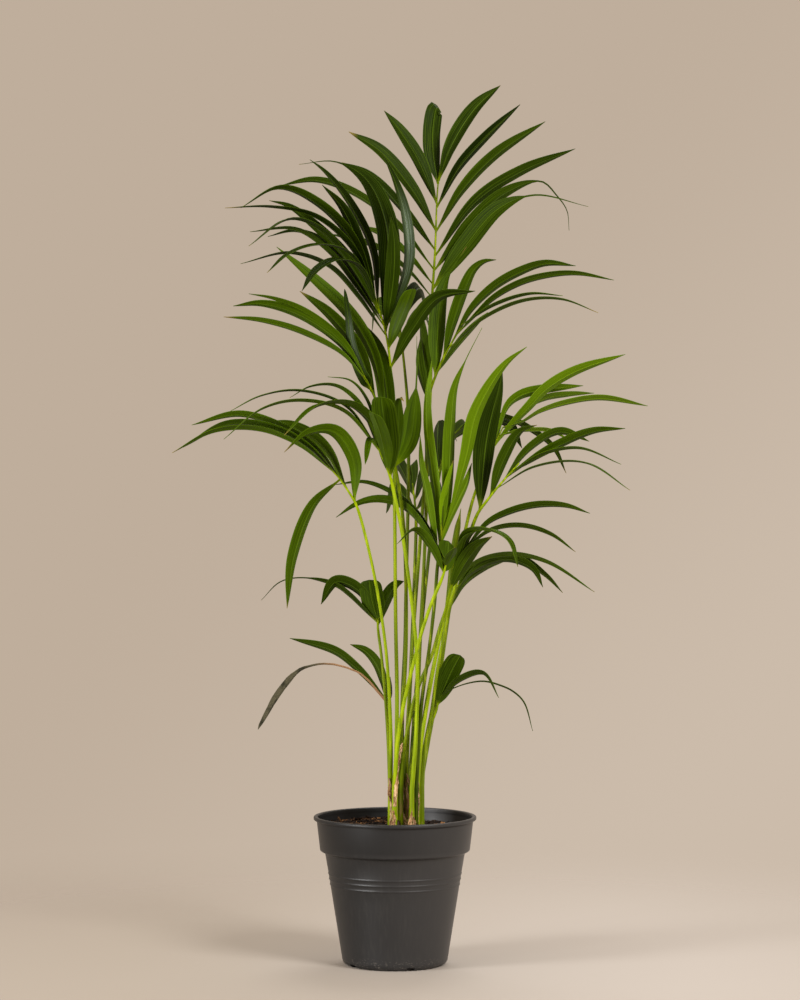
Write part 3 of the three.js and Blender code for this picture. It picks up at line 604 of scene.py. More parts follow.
def soil_finish():
    finish = Finish("bark_and_coir", Roughness=0.9, Specular_IOR_Level=0.1)
    coarse = finish.speckle(160, detail=3)
    fine = finish.speckle(620, detail=4)
    base = finish.mix(coarse.fade(0.38, 0.62), SOIL_BLACK, SOIL_BROWN)
    base = finish.mix(fine.fade(0.55, 0.72) * 0.5, base, CRUMB_BROWN)
    base = finish.mix(finish.written("pale"), base, BARK_TAN)
    finish.put("Base Color", base)
    finish.bump(fine * 0.6 + coarse * 0.4, distance=1.2, strength=0.8)
    return finish


chance = random.Random(SEED)
noise.seed_set(SEED)
soil = join("potting_soil", [soil_body(), *scatter_chips(chance), *coir_fibres(chance)])
settle(soil, soil_finish(), "soil", crease=35)

# ------------------------------------------------------------------------------------ leaf stalks
# Each frond stands on a long, slender, springy stalk, yellow-green where the light falls on it and
# deeper green low down. It comes straight out of the young palm's base and thins towards the rib.

STEM_TOP = 260.7
STALK_LIFT = 0.3
STALK_FOOT = 3.5
STALK_RADIUS = 2.6
STALK_SIDES = 12
STALK_STEPS = 44
RIB_NECK = 14
CURVE_STEPS = 24
LINE_STEPS = 600
RIB_LINE_STEPS = 200

STALK_DEEP = "172800"
STALK_BRIGHT = "8AA004"
STALK_SHADE = "314A00"
STALK_LIGHT = "C4D418"
STALK_STREAKS = (260, 260, 9)
STALK_PATCHES = (40, 40, 6)
STALK_TONES = {
    "crown": 0.5, "upper_left": 0.75, "upper_back": 0.3, "upper_right": 0.4, "middle_left": 0.45,
    "centre_left": 0.95, "far_left": 0.9, "centre": 0.2, "right": 0.85, "far_right": 0.7,
    "back_right": 0.15, "back_left": 0.35, "lower_front": 1.1, "lower_right": 0.55,
    "low_right": 0.6, "low_left": 0.6, "bottom_left": 0.4, "bottom_right": 0.6,
}

# Places are (across, up, behind): where the line of sight from EYE meets the upright plane through
# the pot's axis, and how far behind that plane the place is. Each leaflet is a list of the share of
# the rib's length where it grows, its width, its turn in degrees, and the places on its way.
FRONDS = {
    "crown": {
        "stalk": [(16, 261, 14), (21, 388, 24), (28, 505, 34), (37, 623, 42), (46, 741, 48),
                  (52, 844, 52), (53, 925, 54)],
        "rib": [(53, 925, 54), (54, 969, 56), (59, 1050, 66), (62, 1131, 84), (65, 1165, 94)],
        "leaflets": [
            [0.93, 30, 33, (56, 1190, 100), (56, 1234, 118), (62, 1260, 130), (68, 1253, 135)],
            [0.95, 27, 40, (84, 1207, 95), (118, 1260, 103), (155, 1293, 110)],
            [0.78, 22, 53, (93, 1171, 87), (132, 1215, 96), (184, 1265, 110)],
            [0.63, 24, 52, (100, 1141, 80), (147, 1190, 92), (221, 1240, 112)],
            [0.48, 24, 52, (118, 1122, 78), (184, 1166, 94), (265, 1200, 115)],
            [0.39, 26, 47, (110, 1088, 78), (162, 1135, 98), (215, 1152, 117), (238, 1131, 128),
             (253, 1109, 134), (256, 1080, 136)],
            [0.28, 30, 21, (103, 1057, 69), (152, 1112, 84), (206, 1132, 98), (284, 1115, 119)],
            [0.81, 25, 40, (47, 1156, 86), (31, 1190, 93), (7, 1227, 102), (-16, 1256, 111)],
            [0.64, 25, 45, (25, 1141, 85), (-22, 1197, 105), (-68, 1225, 123)],
            [0.52, 22, 58, (15, 1107, 82), (-37, 1160, 109), (-78, 1180, 128)],
            [0.4, 20, 64, (4, 1088, 79), (-66, 1138, 104), (-118, 1154, 123), (-168, 1146, 142)],
            [0.31, 20, 68, (24, 1038, 82), (-10, 1069, 114), (-50, 1087, 150)],
            [0.23, 18, 73, (24, 1016, 73), (-29, 1056, 108), (-96, 1075, 153)],
        ],
    },
    "upper_left": {
        "stalk": [(1, 261, -11), (3, 388, -8), (1, 505, -6), (0, 623, -8), (-1, 726, -12),
                  (-1, 814, -18)],
        "rib": [(-1, 814, -18), (-6, 873, -24), (-10, 910, -30), (-18, 947, -38), (-28, 976, -48),
                (-37, 998, -56)],
        "leaflets": [
            [0.59, 20, 68, (-52, 979, -42), (-96, 1026, -56), (-155, 1046, -72), (-227, 1031, -93)],
            [0.67, 20, 68, (-59, 1000, -42), (-99, 1050, -49), (-147, 1081, -57), (-213, 1078, -66)],
            [0.71, 18, 71, (-63, 1013, -36), (-107, 1065, -33), (-147, 1079, -30), (-187, 1071, -28)],
            [0.76, 22, 66, (-66, 1031, -60), (-110, 1081, -83), (-155, 1096, -101),
             (-215, 1057, -131)],
            [0.78, 24, 48, (-63, 1029, -53), (-110, 1079, -68), (-155, 1115, -82), (-185, 1124, -90)],
            [0.83, 22, 62, (-63, 1053, -69), (-118, 1100, -96), (-184, 1114, -125),
             (-250, 1113, -158)],
            [0.87, 24, 52, (-62, 1065, -64), (-113, 1119, -84), (-169, 1142, -103),
             (-227, 1113, -124)],
            [0.88, 24, 43, (-50, 1050, -57), (-77, 1113, -69), (-107, 1147, -79)],
            [0.82, 22, 58, (-34, 1053, -44), (-66, 1119, -43), (-103, 1166, -42), (-125, 1184, -41)],
            [0.81, 18, 66, (-66, 1044, -82), (-107, 1059, -108), (-155, 1046, -141),
             (-188, 1018, -174)],
            [0.8, 20, 59, (-54, 1026, -88), (-84, 1037, -116), (-115, 1022, -151), (-137, 991, -193)],
            [0.63, 34, 18, (-9, 1021, -29), (-15, 1097, -22), (-43, 1156, -14), (-88, 1181, -8),
             (-141, 1177, -1)],
            [0.65, 24, 48, (18, 1028, -42), (15, 1101, -49), (0, 1153, -56), (-18, 1193, -62)],
            [0.62, 27, 40, (-3, 1006, -56), (-1, 1057, -78), (-6, 1100, -99)],
            [0.49, 27, 45, (9, 953, -55), (25, 994, -89)],
            [0.34, 28, 43, (25, 934, -34), (63, 981, -49), (118, 991, -65)],
        ],
    },
    "upper_back": {
        "stalk": [(10, 261, 22), (11, 388, 34), (15, 476, 42), (16, 535, 46), (18, 623, 50),
                  (20, 726, 54), (19, 817, 56)],
        "rib": [(19, 817, 56), (13, 888, 62), (6, 947, 72), (-1, 998, 88)],
        "leaflets": [
            [0.84, 26, 38, (-16, 1018, 126), (-25, 1032, 148), (-34, 998, 199)],
            [0.7, 26, 38, (-4, 1006, 135), (1, 1032, 174), (13, 1006, 221)],
            [0.64, 27, 40, (19, 976, 120), (37, 994, 161), (49, 950, 250)],
            [0.55, 26, 47, (-13, 965, 143), (-28, 970, 176), (-34, 932, 267)],
            [0.98, 26, 38, (-6, 1032, 153), (-7, 1050, 197), (-10, 1032, 247)],
            [0.46, 24, 43, (26, 940, 114), (43, 959, 158), (52, 932, 214)],
        ],
    },
    "upper_right": {
        "stalk": [(25, 261, -11), (32, 358, -4), (37, 476, 4), (43, 594, 6), (47, 711, 4),
                  (47, 826, -2)],
        "rib": [(47, 826, -2), (53, 848, -4), (62, 872, -6), (72, 894, -8), (84, 916, -8),
                (94, 934, -6), (102, 950, -4)],
        "leaflets": [
            [0.3, 29, 30, (62, 923, 0), (66, 972, 6), (74, 1006, 11), (85, 1025, 14),
             (105, 1056, 21)],
            [0.52, 25, 47, (84, 940, -9), (100, 987, -11), (116, 1022, -12), (131, 1034, -13),
             (149, 1037, -14)],
            [0.71, 23, 59, (112, 963, -4), (147, 997, 2), (183, 1018, 8), (221, 1031, 14),
             (266, 1028, 22)],
            [0.81, 21, 63, (119, 956, -8), (147, 981, -11), (183, 1001, -14), (221, 1012, -17),
             (265, 1016, -21), (322, 1007, -27)],
            [0.93, 17, 72, (147, 970, -17), (199, 986, -33), (247, 984, -51)],
            [0.64, 18, 71, (132, 951, -20), (191, 976, -37), (246, 978, -54), (299, 959, -74)],
            [0.35, 20, 64, (96, 916, 20), (137, 960, 64)],
            [0.14, 22, 53, (43, 903, 10), (38, 962, 30)],
            [0.04, 22, 53, (35, 888, 6), (37, 920, 13)],
        ],
    },
    "middle_left": {
        "stalk": [(4, 261, 0), (10, 358, 10), (16, 461, 14), (16, 564, 8), (12, 653, -4),
                  (0, 733, -30)],
        "rib": [(0, 733, -30), (-15, 785, -40), (-28, 829, -50), (-37, 850, -56), (-46, 867, -62)],
        "leaflets": [
            [0.95, 20, 68, (-77, 898, -56), (-140, 931, -47), (-196, 947, -39), (-252, 953, -30)],
            [0.92, 24, 52, (-81, 915, -57), (-140, 956, -54), (-196, 972, -51), (-238, 969, -48)],
            [0.87, 20, 64, (-78, 917, -60), (-132, 960, -64), (-177, 979, -67), (-215, 987, -70)],
            [0.43, 25, 45, (-28, 883, -31), (-48, 929, -23), (-74, 965, -15), (-113, 1003, -4),
             (-174, 1056, 14)],
            [0.7, 25, 45, (-54, 903, -40), (-96, 956, -27), (-140, 991, -14)],
            [0.81, 22, 33, (-54, 878, -58), (-65, 917, -64), (-69, 954, -70), (-74, 994, -78)],
            [0.19, 26, 43, (-10, 829, -28), (-24, 903, -16), (-54, 950, -5)],
            [0.0, 33, 27, (21, 770, -28), (28, 814, -25), (32, 866, -21), (32, 925, -16)],
        ],
    },
    "centre_left": {
        "stalk": [(25, 261, -27), (30, 321, -30), (33, 402, -32), (31, 473, -36), (22, 554, -40),
                  (10, 638, -44), (1, 682, -47), (-6, 714, -50)],
        "rib": [(-6, 714, -50), (-12, 732, -56), (-19, 748, -64), (-26, 763, -74)],
        "leaflets": [
            [0.42, 30, 50, (-31, 792, -77), (-63, 822, -97), (-113, 822, -126), (-163, 779, -167)],
            [0.84, 20, 68, (-74, 813, -83), (-140, 829, -103), (-196, 817, -122), (-252, 773, -149)],
            [0.94, 18, 76, (-74, 822, -84), (-140, 844, -101), (-196, 837, -116), (-243, 814, -132)],
            [0.78, 20, 68, (-54, 825, -79), (-88, 851, -89), (-125, 850, -98), (-155, 834, -107)],
            [0.59, 16, 74, (-43, 832, -73), (-66, 859, -79), (-99, 865, -86)],
            [0.12, 37, 17, (-13, 782, -92), (-20, 835, -144)],
            [0.06, 26, 43, (4, 785, -78), (7, 834, -106), (13, 829, -111)],
            [0.88, 9, 49, (-35, 775, -94), (-44, 736, -170)],
            [0.18, 28, 43, (-16, 761, -88), (-22, 785, -121), (-32, 812, -165)],
        ],
    },
    "far_left": {
        "radius": 2.2,
        "stalk": [(-7, 261, 4), (-6, 314, -2), (-8, 388, -10), (-14, 469, -18), (-26, 549, -26),
                  (-40, 616, -34), (-57, 676, -40)],
        "rib": [(-57, 676, -40), (-69, 697, -44), (-81, 714, -48), (-91, 726, -50)],
        "leaflets": [
            [0.1, 28, 33, (-62, 744, -52), (-90, 784, -64), (-128, 782, -76), (-163, 754, -91)],
            [0.75, 26, 51, (-119, 678, -51), (-149, 601, -59), (-159, 524, -68)],
            [0.63, 22, 66, (-113, 756, -41), (-162, 788, -33), (-228, 809, -21), (-299, 794, -7)],
            [0.83, 22, 66, (-125, 760, -47), (-177, 788, -44), (-246, 795, -40), (-312, 761, -35)],
            [0.97, 22, 70, (-140, 763, -52), (-199, 786, -55), (-265, 784, -59), (-328, 753, -64)],
            [0.45, 24, 52, (-103, 760, -26), (-147, 789, -4), (-206, 795, 25)],
        ],
    },
    "centre": {
        "light": True,
        "stalk": [(31, 261, -20), (35, 329, -22), (40, 391, -28), (50, 461, -37), (58, 529, -44),
                  (63, 591, -52)],
        "rib": [(63, 591, -52), (66, 616, -56), (69, 645, -60), (71, 675, -62)],
        "leaflets": [
            [0.1, 20, 59, (54, 653, -56), (47, 697, -59), (38, 739, -62), (37, 779, -65)],
            [0.3, 24, 54, (61, 682, -55), (55, 726, -54), (47, 792, -53), (47, 837, -51),
             (54, 888, -50)],
            [0.39, 25, 45, (77, 682, -58), (80, 741, -59), (82, 792, -60), (88, 848, -62),
             (103, 887, -63), (128, 937, -65)],
            [0.42, 26, 40, (81, 663, -59), (91, 697, -62), (106, 753, -68), (118, 807, -74),
             (143, 857, -81), (166, 887, -86), (194, 909, -91)],
            [0.3, 20, 49, (81, 657, -52), (94, 685, -48), (106, 711, -43), (113, 738, -38)],
            [0.59, 13, 47, (71, 682, -63), (78, 711, -68), (86, 742, -73)],
        ],
    },
    "right": {
        "stalk": [(33, 261, -8), (38, 321, -6), (44, 363, -4), (50, 398, -4), (61, 457, -4),
                  (73, 510, -4), (84, 542, -4), (97, 585, -10), (107, 623, -20), (122, 664, -40)],
        "rib": [(122, 664, -40), (135, 682, -48), (150, 701, -54), (166, 719, -58), (183, 738, -60)],
        "leaflets": [
            [0.06, 36, 28, (130, 733, -45), (135, 775, -48), (143, 812, -51), (152, 845, -54),
             (158, 873, -56)],
            [0.33, 24, 43, (162, 748, -65), (184, 784, -80), (209, 794, -90)],
            [0.63, 21, 58, (199, 760, -49), (243, 784, -40), (286, 770, -30)],
            [0.83, 22, 53, (231, 759, -64), (290, 784, -72), (339, 789, -79)],
            [0.72, 18, 71, (213, 748, -68), (272, 759, -85), (333, 736, -108)],
            [0.49, 15, 76, (206, 732, -69), (280, 738, -96), (346, 698, -130)],
        ],
    },
    "far_right": {
        "light": True,
        "radius": 2.5,
        "stalk": [(34, 261, 25), (38, 321, 30), (47, 388, 34), (60, 454, 37), (73, 510, 39),
                  (85, 552, 40), (100, 623, 40), (115, 685, 38)],
        "rib": [(115, 685, 38), (131, 729, 40), (146, 764, 42), (159, 791, 44)],
        "leaflets": [
            [0.72, 23, 50, (163, 785, 44), (196, 819, 48), (224, 848, 53), (266, 873, 60),
             (339, 898, 72)],
            [1.0, 19, 65, (184, 797, 47), (213, 813, 54), (249, 825, 64), (302, 833, 79),
             (372, 822, 104)],
            [0.77, 19, 60, (166, 822, 60), (184, 837, 70), (213, 845, 86), (277, 852, 122)],
            [0.83, 15, 67, (191, 817, 69), (221, 833, 91), (258, 839, 118), (293, 841, 147)],
            [0.88, 15, 67, (177, 784, 45), (202, 786, 47), (228, 785, 51), (255, 773, 55)],
        ],
    },
    "back_right": {
        "stalk": [(22, 261, 26), (28, 358, 44), (37, 476, 62), (49, 594, 78), (57, 667, 88),
                  (63, 706, 94)],
        "rib": [(63, 706, 94), (68, 733, 100), (77, 763, 108), (88, 785, 118)],
        "leaflets": [
            [0.92, 15, 67, (125, 809, 124), (165, 804, 134), (203, 785, 147), (233, 761, 160),
             (252, 723, 175)],
            [0.8, 18, 66, (125, 794, 138), (165, 797, 171), (187, 760, 211)],
            [0.24, 26, 43, (63, 763, 134), (64, 800, 188)],
            [0.52, 20, 49, (88, 782, 160), (102, 794, 198), (112, 773, 254)],
            [0.65, 20, 49, (78, 776, 158), (84, 786, 208), (91, 770, 297)],
            [0.38, 18, 49, (59, 759, 155), (54, 769, 194), (53, 750, 271)],
        ],
    },
    "back_left": {
        "stalk": [(12, 261, 32), (19, 358, 54), (25, 476, 80), (29, 579, 100), (31, 653, 112)],
        "rib": [(31, 653, 112), (29, 682, 120), (26, 708, 132)],
        "leaflets": [
            [0.79, 25, 54, (25, 729, 169), (24, 735, 181), (21, 717, 217)],
            [0.66, 25, 54, (12, 726, 184), (4, 738, 214), (-1, 714, 273)],
            [0.53, 25, 54, (43, 720, 184), (52, 732, 218), (60, 706, 290)],
            [0.26, 24, 52, (52, 697, 161), (63, 703, 184), (75, 670, 256)],
            [0.2, 24, 52, (10, 694, 154), (-4, 700, 178), (-13, 664, 245)],
        ],
    },
    "lower_front": {
        "stalk": [(-1, 261, -22), (4, 329, -30), (14, 388, -40), (28, 446, -54), (40, 491, -64),
                  (54, 532, -72), (71, 573, -80)],
        "rib": [(71, 573, -80), (74, 586, -82), (77, 600, -84)],
        "leaflets": [
            [0.15, 24, 56, (52, 616, -86), (29, 639, -93), (3, 619, -101)],
            [0.43, 16, 63, (44, 641, -52), (7, 678, 4), (-25, 685, 14), (-54, 679, 16),
             (-87, 658, 16)],
            [0.71, 12, 68, (38, 658, -30), (0, 692, 14), (-44, 710, 22), (-90, 706, 20)],
            [0.17, 31, 31, (77, 601, -68), (79, 623, -51)],
            [0.5, 18, 49, (82, 600, -96), (88, 614, -118)],
        ],
    },
    "lower_right": {
        "stalk": [(9, 261, -9), (13, 314, -12), (21, 355, -12), (28, 388, -13), (38, 417, -16),
                  (54, 454, -20), (66, 495, -20), (75, 523, -20)],
        "rib": [(75, 523, -20), (81, 549, -22), (88, 576, -26), (96, 597, -30), (103, 614, -34)],
        "leaflets": [
            [0.77, 29, 40, (110, 635, -54), (143, 638, -76), (168, 622, -90), (181, 585, -98)],
            [0.92, 20, 61, (135, 648, -29), (165, 664, -25), (206, 675, -20), (250, 675, -14),
             (287, 664, -8)],
            [0.97, 18, 63, (140, 638, -35), (184, 645, -38), (228, 633, -41), (266, 607, -45)],
            [0.32, 29, 40, (105, 594, -33), (122, 616, -43), (143, 630, -53)],
            [0.61, 24, 56, (99, 611, -40), (107, 630, -52), (119, 638, -61)],
        ],
    },
    "low_right": {
        "radius": 2.3,
        "stalk": [(38, 261, 9), (44, 321, 9), (54, 373, 11), (63, 436, 14), (72, 483, 14),
                  (81, 523, 12)],
        "rib": [(81, 523, 12), (84, 535, 10), (88, 548, 8), (94, 560, 6)],
        "leaflets": [
            [0.46, 21, 63, (113, 586, 5), (162, 602, 0), (221, 592, -8), (294, 548, -21)],
            [0.31, 24, 56, (110, 576, 13), (162, 597, 18), (202, 583, 22), (218, 555, 26)],
            [0.78, 17, 70, (125, 589, 15), (177, 600, 26), (221, 573, 40), (247, 547, 51)],
            [0.07, 20, 64, (105, 563, 29), (137, 586, 53), (169, 597, 78)],
        ],
    },
    "low_left": {
        "radius": 2.2,
        "stalk": [(-7, 261, 13), (-10, 329, 14), (-15, 402, 15), (-20, 454, 18), (-25, 494, 24)],
        "rib": [(-25, 494, 24), (-26, 513, 27), (-31, 529, 30)],
        "leaflets": [
            [0.24, 16, 63, (-66, 542, 34), (-88, 558, 40), (-135, 569, 53), (-169, 563, 63),
             (-197, 536, 75)],
            [0.4, 25, 50, (-54, 551, 30), (-87, 563, 35), (-109, 530, 40)],
            [0.32, 35, 15, (-34, 538, 22), (-38, 566, 18)],
            [0.15, 25, 45, (-13, 535, 36), (1, 558, 48), (13, 564, 55)],
        ],
    },
    "bottom_left": {
        "radius": 2.2,
        "stalk": [(-6, 261, 22), (-7, 314, 24), (-9, 351, 27), (-10, 379, 30)],
        "rib": [(-10, 379, 30), (-12, 388, 32), (-15, 398, 34)],
        "leaflets": [
            [0.54, 21, 53, (-38, 417, 37), (-56, 435, 43), (-88, 460, 52), (-155, 480, 72)],
            [0.37, 22, 51, (-18, 416, 35), (-29, 444, 41), (-44, 461, 46), (-66, 471, 52)],
            [0.21, 14, 58, (-5, 402, 54), (-7, 423, 91)],
        ],
    },
    "bottom_right": {
        "radius": 2.2,
        "stalk": [(40, 261, 18), (43, 302, 20), (49, 342, 22), (62, 377, 24)],
        "rib": [(62, 377, 24), (63, 386, 26), (66, 396, 28)],
        "leaflets": [
            [0.24, 34, 25, (74, 411, 24), (84, 433, 24), (96, 455, 23)],
            [0.64, 23, 59, (96, 418, 21), (130, 427, 14), (153, 392, 5)],
            [0.86, 6, 67, (84, 405, 28), (107, 413, 29), (131, 416, 30), (155, 410, 31),
             (174, 401, 32), (190, 385, 33), (203, 343, 35)],
        ],
    },
}


def place(seen):
    """The real place of a point that is given as (across, up, behind), in millimetres."""
    across, up, behind = seen
    on_plane = np.array([across, 0.0, up])
    return EYE + (on_plane - EYE) * (1 + behind / -EYE[1])


def risen(places):
    """The real places of a line whose foot stands just clear of the palm's base."""
    points = [place(p) for p in places]
    points[0][2] = STEM_TOP + STALK_LIFT
    return points


def curve_through(places, steps):
    """Evenly spaced points on the smooth curve through the places: a centripetal spline, whose
    pace at each place follows the roots of the gaps on both sides of it."""
    p = np.array(places, float)
    p = np.vstack([2 * p[0] - p[1], p, 2 * p[-1] - p[-2]])
    gaps = np.linalg.norm(np.diff(p, axis=0), axis=1) ** 0.5
    t = np.linspace(0, 1, CURVE_STEPS, endpoint=False)[:, None]
    line = []
    for i in range(1, len(p) - 2):
        before, here, after = gaps[i - 1 : i + 2]
        run = p[i + 1] - p[i]
        leave = (p[i] - p[i - 1]) / before - (p[i + 1] - p[i - 1]) / (before + here) + run / here
        reach = run / here - (p[i + 2] - p[i]) / (here + after) + (p[i + 2] - p[i + 1]) / after
        leave, reach = leave * here, reach * here
        square = 3 * run - 2 * leave - reach
        cube = leave + reach - 2 * run
        line.append(p[i] + leave * t + square * t**2 + cube * t**3)
    line = np.vstack([*line, p[-2]])
    run = np.append(0, np.cumsum(np.linalg.norm(np.diff(line, axis=0), axis=1)))
    even = np.linspace(0, run[-1], steps + 1)
    return np.column_stack([np.interp(even, run, line[:, k]) for k in range(3)])


def length_of(line):
    """The length of a line of points."""
    return float(np.linalg.norm(np.diff(line, axis=0), axis=1).sum())


def frond_line(frond):
    """A frond's line from the stalk's foot to the rib's point, in fine steps, with the shares of it
    where the stalk ends and where the lowest leaflet grows."""
    line = curve_through(risen([*frond["stalk"], *frond["rib"][1:]]), LINE_STEPS)
    above = length_of(curve_through([place(p) for p in frond["rib"]], RIB_LINE_STEPS))
    whole = length_of(line)
    return line, 1 - (above + RIB_NECK) / whole, 1 - above / whole


def part_of(line, first, last, steps):
    """Evenly spaced points between two shares of a line."""
    at = np.linspace(first, last, steps + 1) * (len(line) - 1)
    return np.column_stack([np.interp(at, np.arange(len(line)), line[:, k]) for k in range(3)])


def stalk_rod(name, frond):
    """A stalk, spread at its foot and then thinning quickly to the radius of the rib."""
    line, neck, _ = frond_line(frond)
    radius = frond.get("radius", STALK_RADIUS)
    spread = (1 - np.linspace(0, 1, STALK_STEPS + 1)) ** 3
    radii = radius + (STALK_FOOT - radius) * spread
    return rod(name, part_of(line, 0, neck, STALK_STEPS), radii, STALK_SIDES)


def stalk_colours(finish):
    """The stalks' own greens: each has its tone, from deep green to yellow, and fine streaks."""
    streak = finish.speckle(STALK_STREAKS, detail=2)
    patch = finish.speckle(STALK_PATCHES, detail=2)
    tone = finish.written("tone") + patch * 0.6 - 0.3
    base = finish.mix(tone, STALK_DEEP, STALK_BRIGHT)
    base = finish.mix(streak.fade(0.50, 0.70) * 0.4, base, STALK_SHADE)
    base = finish.mix(streak.fall(0.32, 0.50) * 0.3, base, STALK_LIGHT)
    return base, streak


def stalk_finish():
    finish = Finish("leaf_stalk", Specular_IOR_Level=0.12)
    base, streak = stalk_colours(finish)
    finish.put("Base Color", base)
    finish.put("Roughness", 0.38 + streak * 0.15)
    finish.bump(streak, distance=0.2, strength=0.4)
    return finish


stalk_green = stalk_finish()
for name, frond in FRONDS.items():
    stalk = stalk_rod(f"leaf_stalk_{name}", frond)
    mark(stalk, tone=STALK_TONES[name])
    settle(stalk, stalk_green, f"stalk_{name}")

# ------------------------------------------------------------------------------------ palm bases
# Five young palms stand together. Each base is a bundle of green leaf bases, one for each stalk,
# held close round a brown core, and it stands in the soil.

STEM_FOOT = 150
BUNDLE_TOP = STEM_TOP + 1
BUNDLE_POINTS = 14
BUNDLE_SQUEEZE = 0.15
SHEATH_FOOT = 4.3
SHEATH_TOP = 3.5
CORE_SHARE = 0.62
CORE_HEIGHTS = (STEM_FOOT, 208, 213)
CORE_TAPER = (1, 1, 0.6)
CORE_TONE = 0.1
SHEATH_SHADE = 0.05
SHEATH_TAN = "8A6A45"
CORE_BROWN = "33230F"
DRY_PATCHES = (110, 110, 30)
DRY_HEIGHTS = (215, 250)
DRY_SHARES = (0.9, 0.2)


def palm_core(name, middle_x, middle_y, wide, deep):
    """The brown heart of a palm: a rod that is stretched to the palm's oval."""
    line = [(middle_x, middle_y, height) for height in CORE_HEIGHTS]
    core = rod(name, line, [wide * CORE_SHARE * taper for taper in CORE_TAPER], STALK_SIDES)
    for point in core.data.vertices:
        point.co.y = (middle_y + (point.co.y / MM - middle_y) * deep / wide) * MM
    mark(core, tone=CORE_TONE, core=1)
    return core


def palm_base(name):
    """The bundle of one palm: the stalks that rise from its oval, carried down into the soil."""
    middle_x, middle_y, wide, deep = PALMS[name]
    heights = np.linspace(STEM_FOOT, BUNDLE_TOP, BUNDLE_POINTS)
    shares = np.array([smooth(share) for share in np.linspace(0, 1, BUNDLE_POINTS)])
    near = 1 - BUNDLE_SQUEEZE + BUNDLE_SQUEEZE * shares
    radii = SHEATH_FOOT + (SHEATH_TOP - SHEATH_FOOT) * shares
    rods = [palm_core(f"{name}_core", *PALMS[name])]
    for label, frond in FRONDS.items():
        x, y, _ = place(frond["stalk"][0])
        if ((x - middle_x) / wide) ** 2 + ((y - middle_y) / deep) ** 2 > 1:
            continue
        line = np.column_stack([middle_x + (x - middle_x) * near,
                                middle_y + (y - middle_y) * near, heights])
        sheath = rod(f"{name}_{label}", line, radii, STALK_SIDES)
        mark(sheath, tone=STALK_TONES[label] - SHEATH_SHADE, core=0)
        rods.append(sheath)
    return join(f"{name}_base", rods)


def base_finish():
    finish = Finish("palm_base", Specular_IOR_Level=0.12)
    green, streak = stalk_colours(finish)
    patch = finish.speckle(DRY_PATCHES, detail=3)
    dry = patch.fade(0.56, 0.64) * finish.millimetres("Z").fade(*DRY_HEIGHTS, *DRY_SHARES)
    base = finish.mix(dry, green, SHEATH_TAN)
    base = finish.mix(finish.written("core"), base, CORE_BROWN)
    finish.put("Base Color", base)
    finish.put("Roughness", 0.42 + dry * 0.4)
    finish.bump(streak, distance=0.6, strength=0.6)
    return finish


base_green = base_finish()
for name in PALMS:
    settle(palm_base(name), base_green, f"{name}_stem")

# ------------------------------------------------------------------------------------ dry sheaths
# Old leaf sheaths dry to torn, papery strips that cling to the bases and curl off them. Each is a
# narrow sheet with ragged edges, fibres along it and loose threads beside it.

STRIP_ROWS = 40
STRIP_COLUMNS = 8
STRIP_BULGE = 0.42
STRIP_THICKNESS = 0.5
STRIP_TEAR = 0.5
TEAR_PACE = (0.35, 3, 5.3)
STRIP_CURL = 0.9
CURL_PACE = (1.5, 0.22, 3.7)
THREAD_RADII = (0.26, 0.34, 0.42)
THREAD_SPREAD = 0.6
THREAD_MARGIN = 1.5
THREAD_PACE = (0.09, 3.1, 7.7)

HUSK_TAN = "B4875A"
HUSK_PALE = "E0BC90"
HUSK_DARK = "3F2613"
FIBRE_BROWN = "54341A"
HUSK_FIBRES = (1300, 1300, 50)
HUSK_PATCHES = (160, 160, 90)

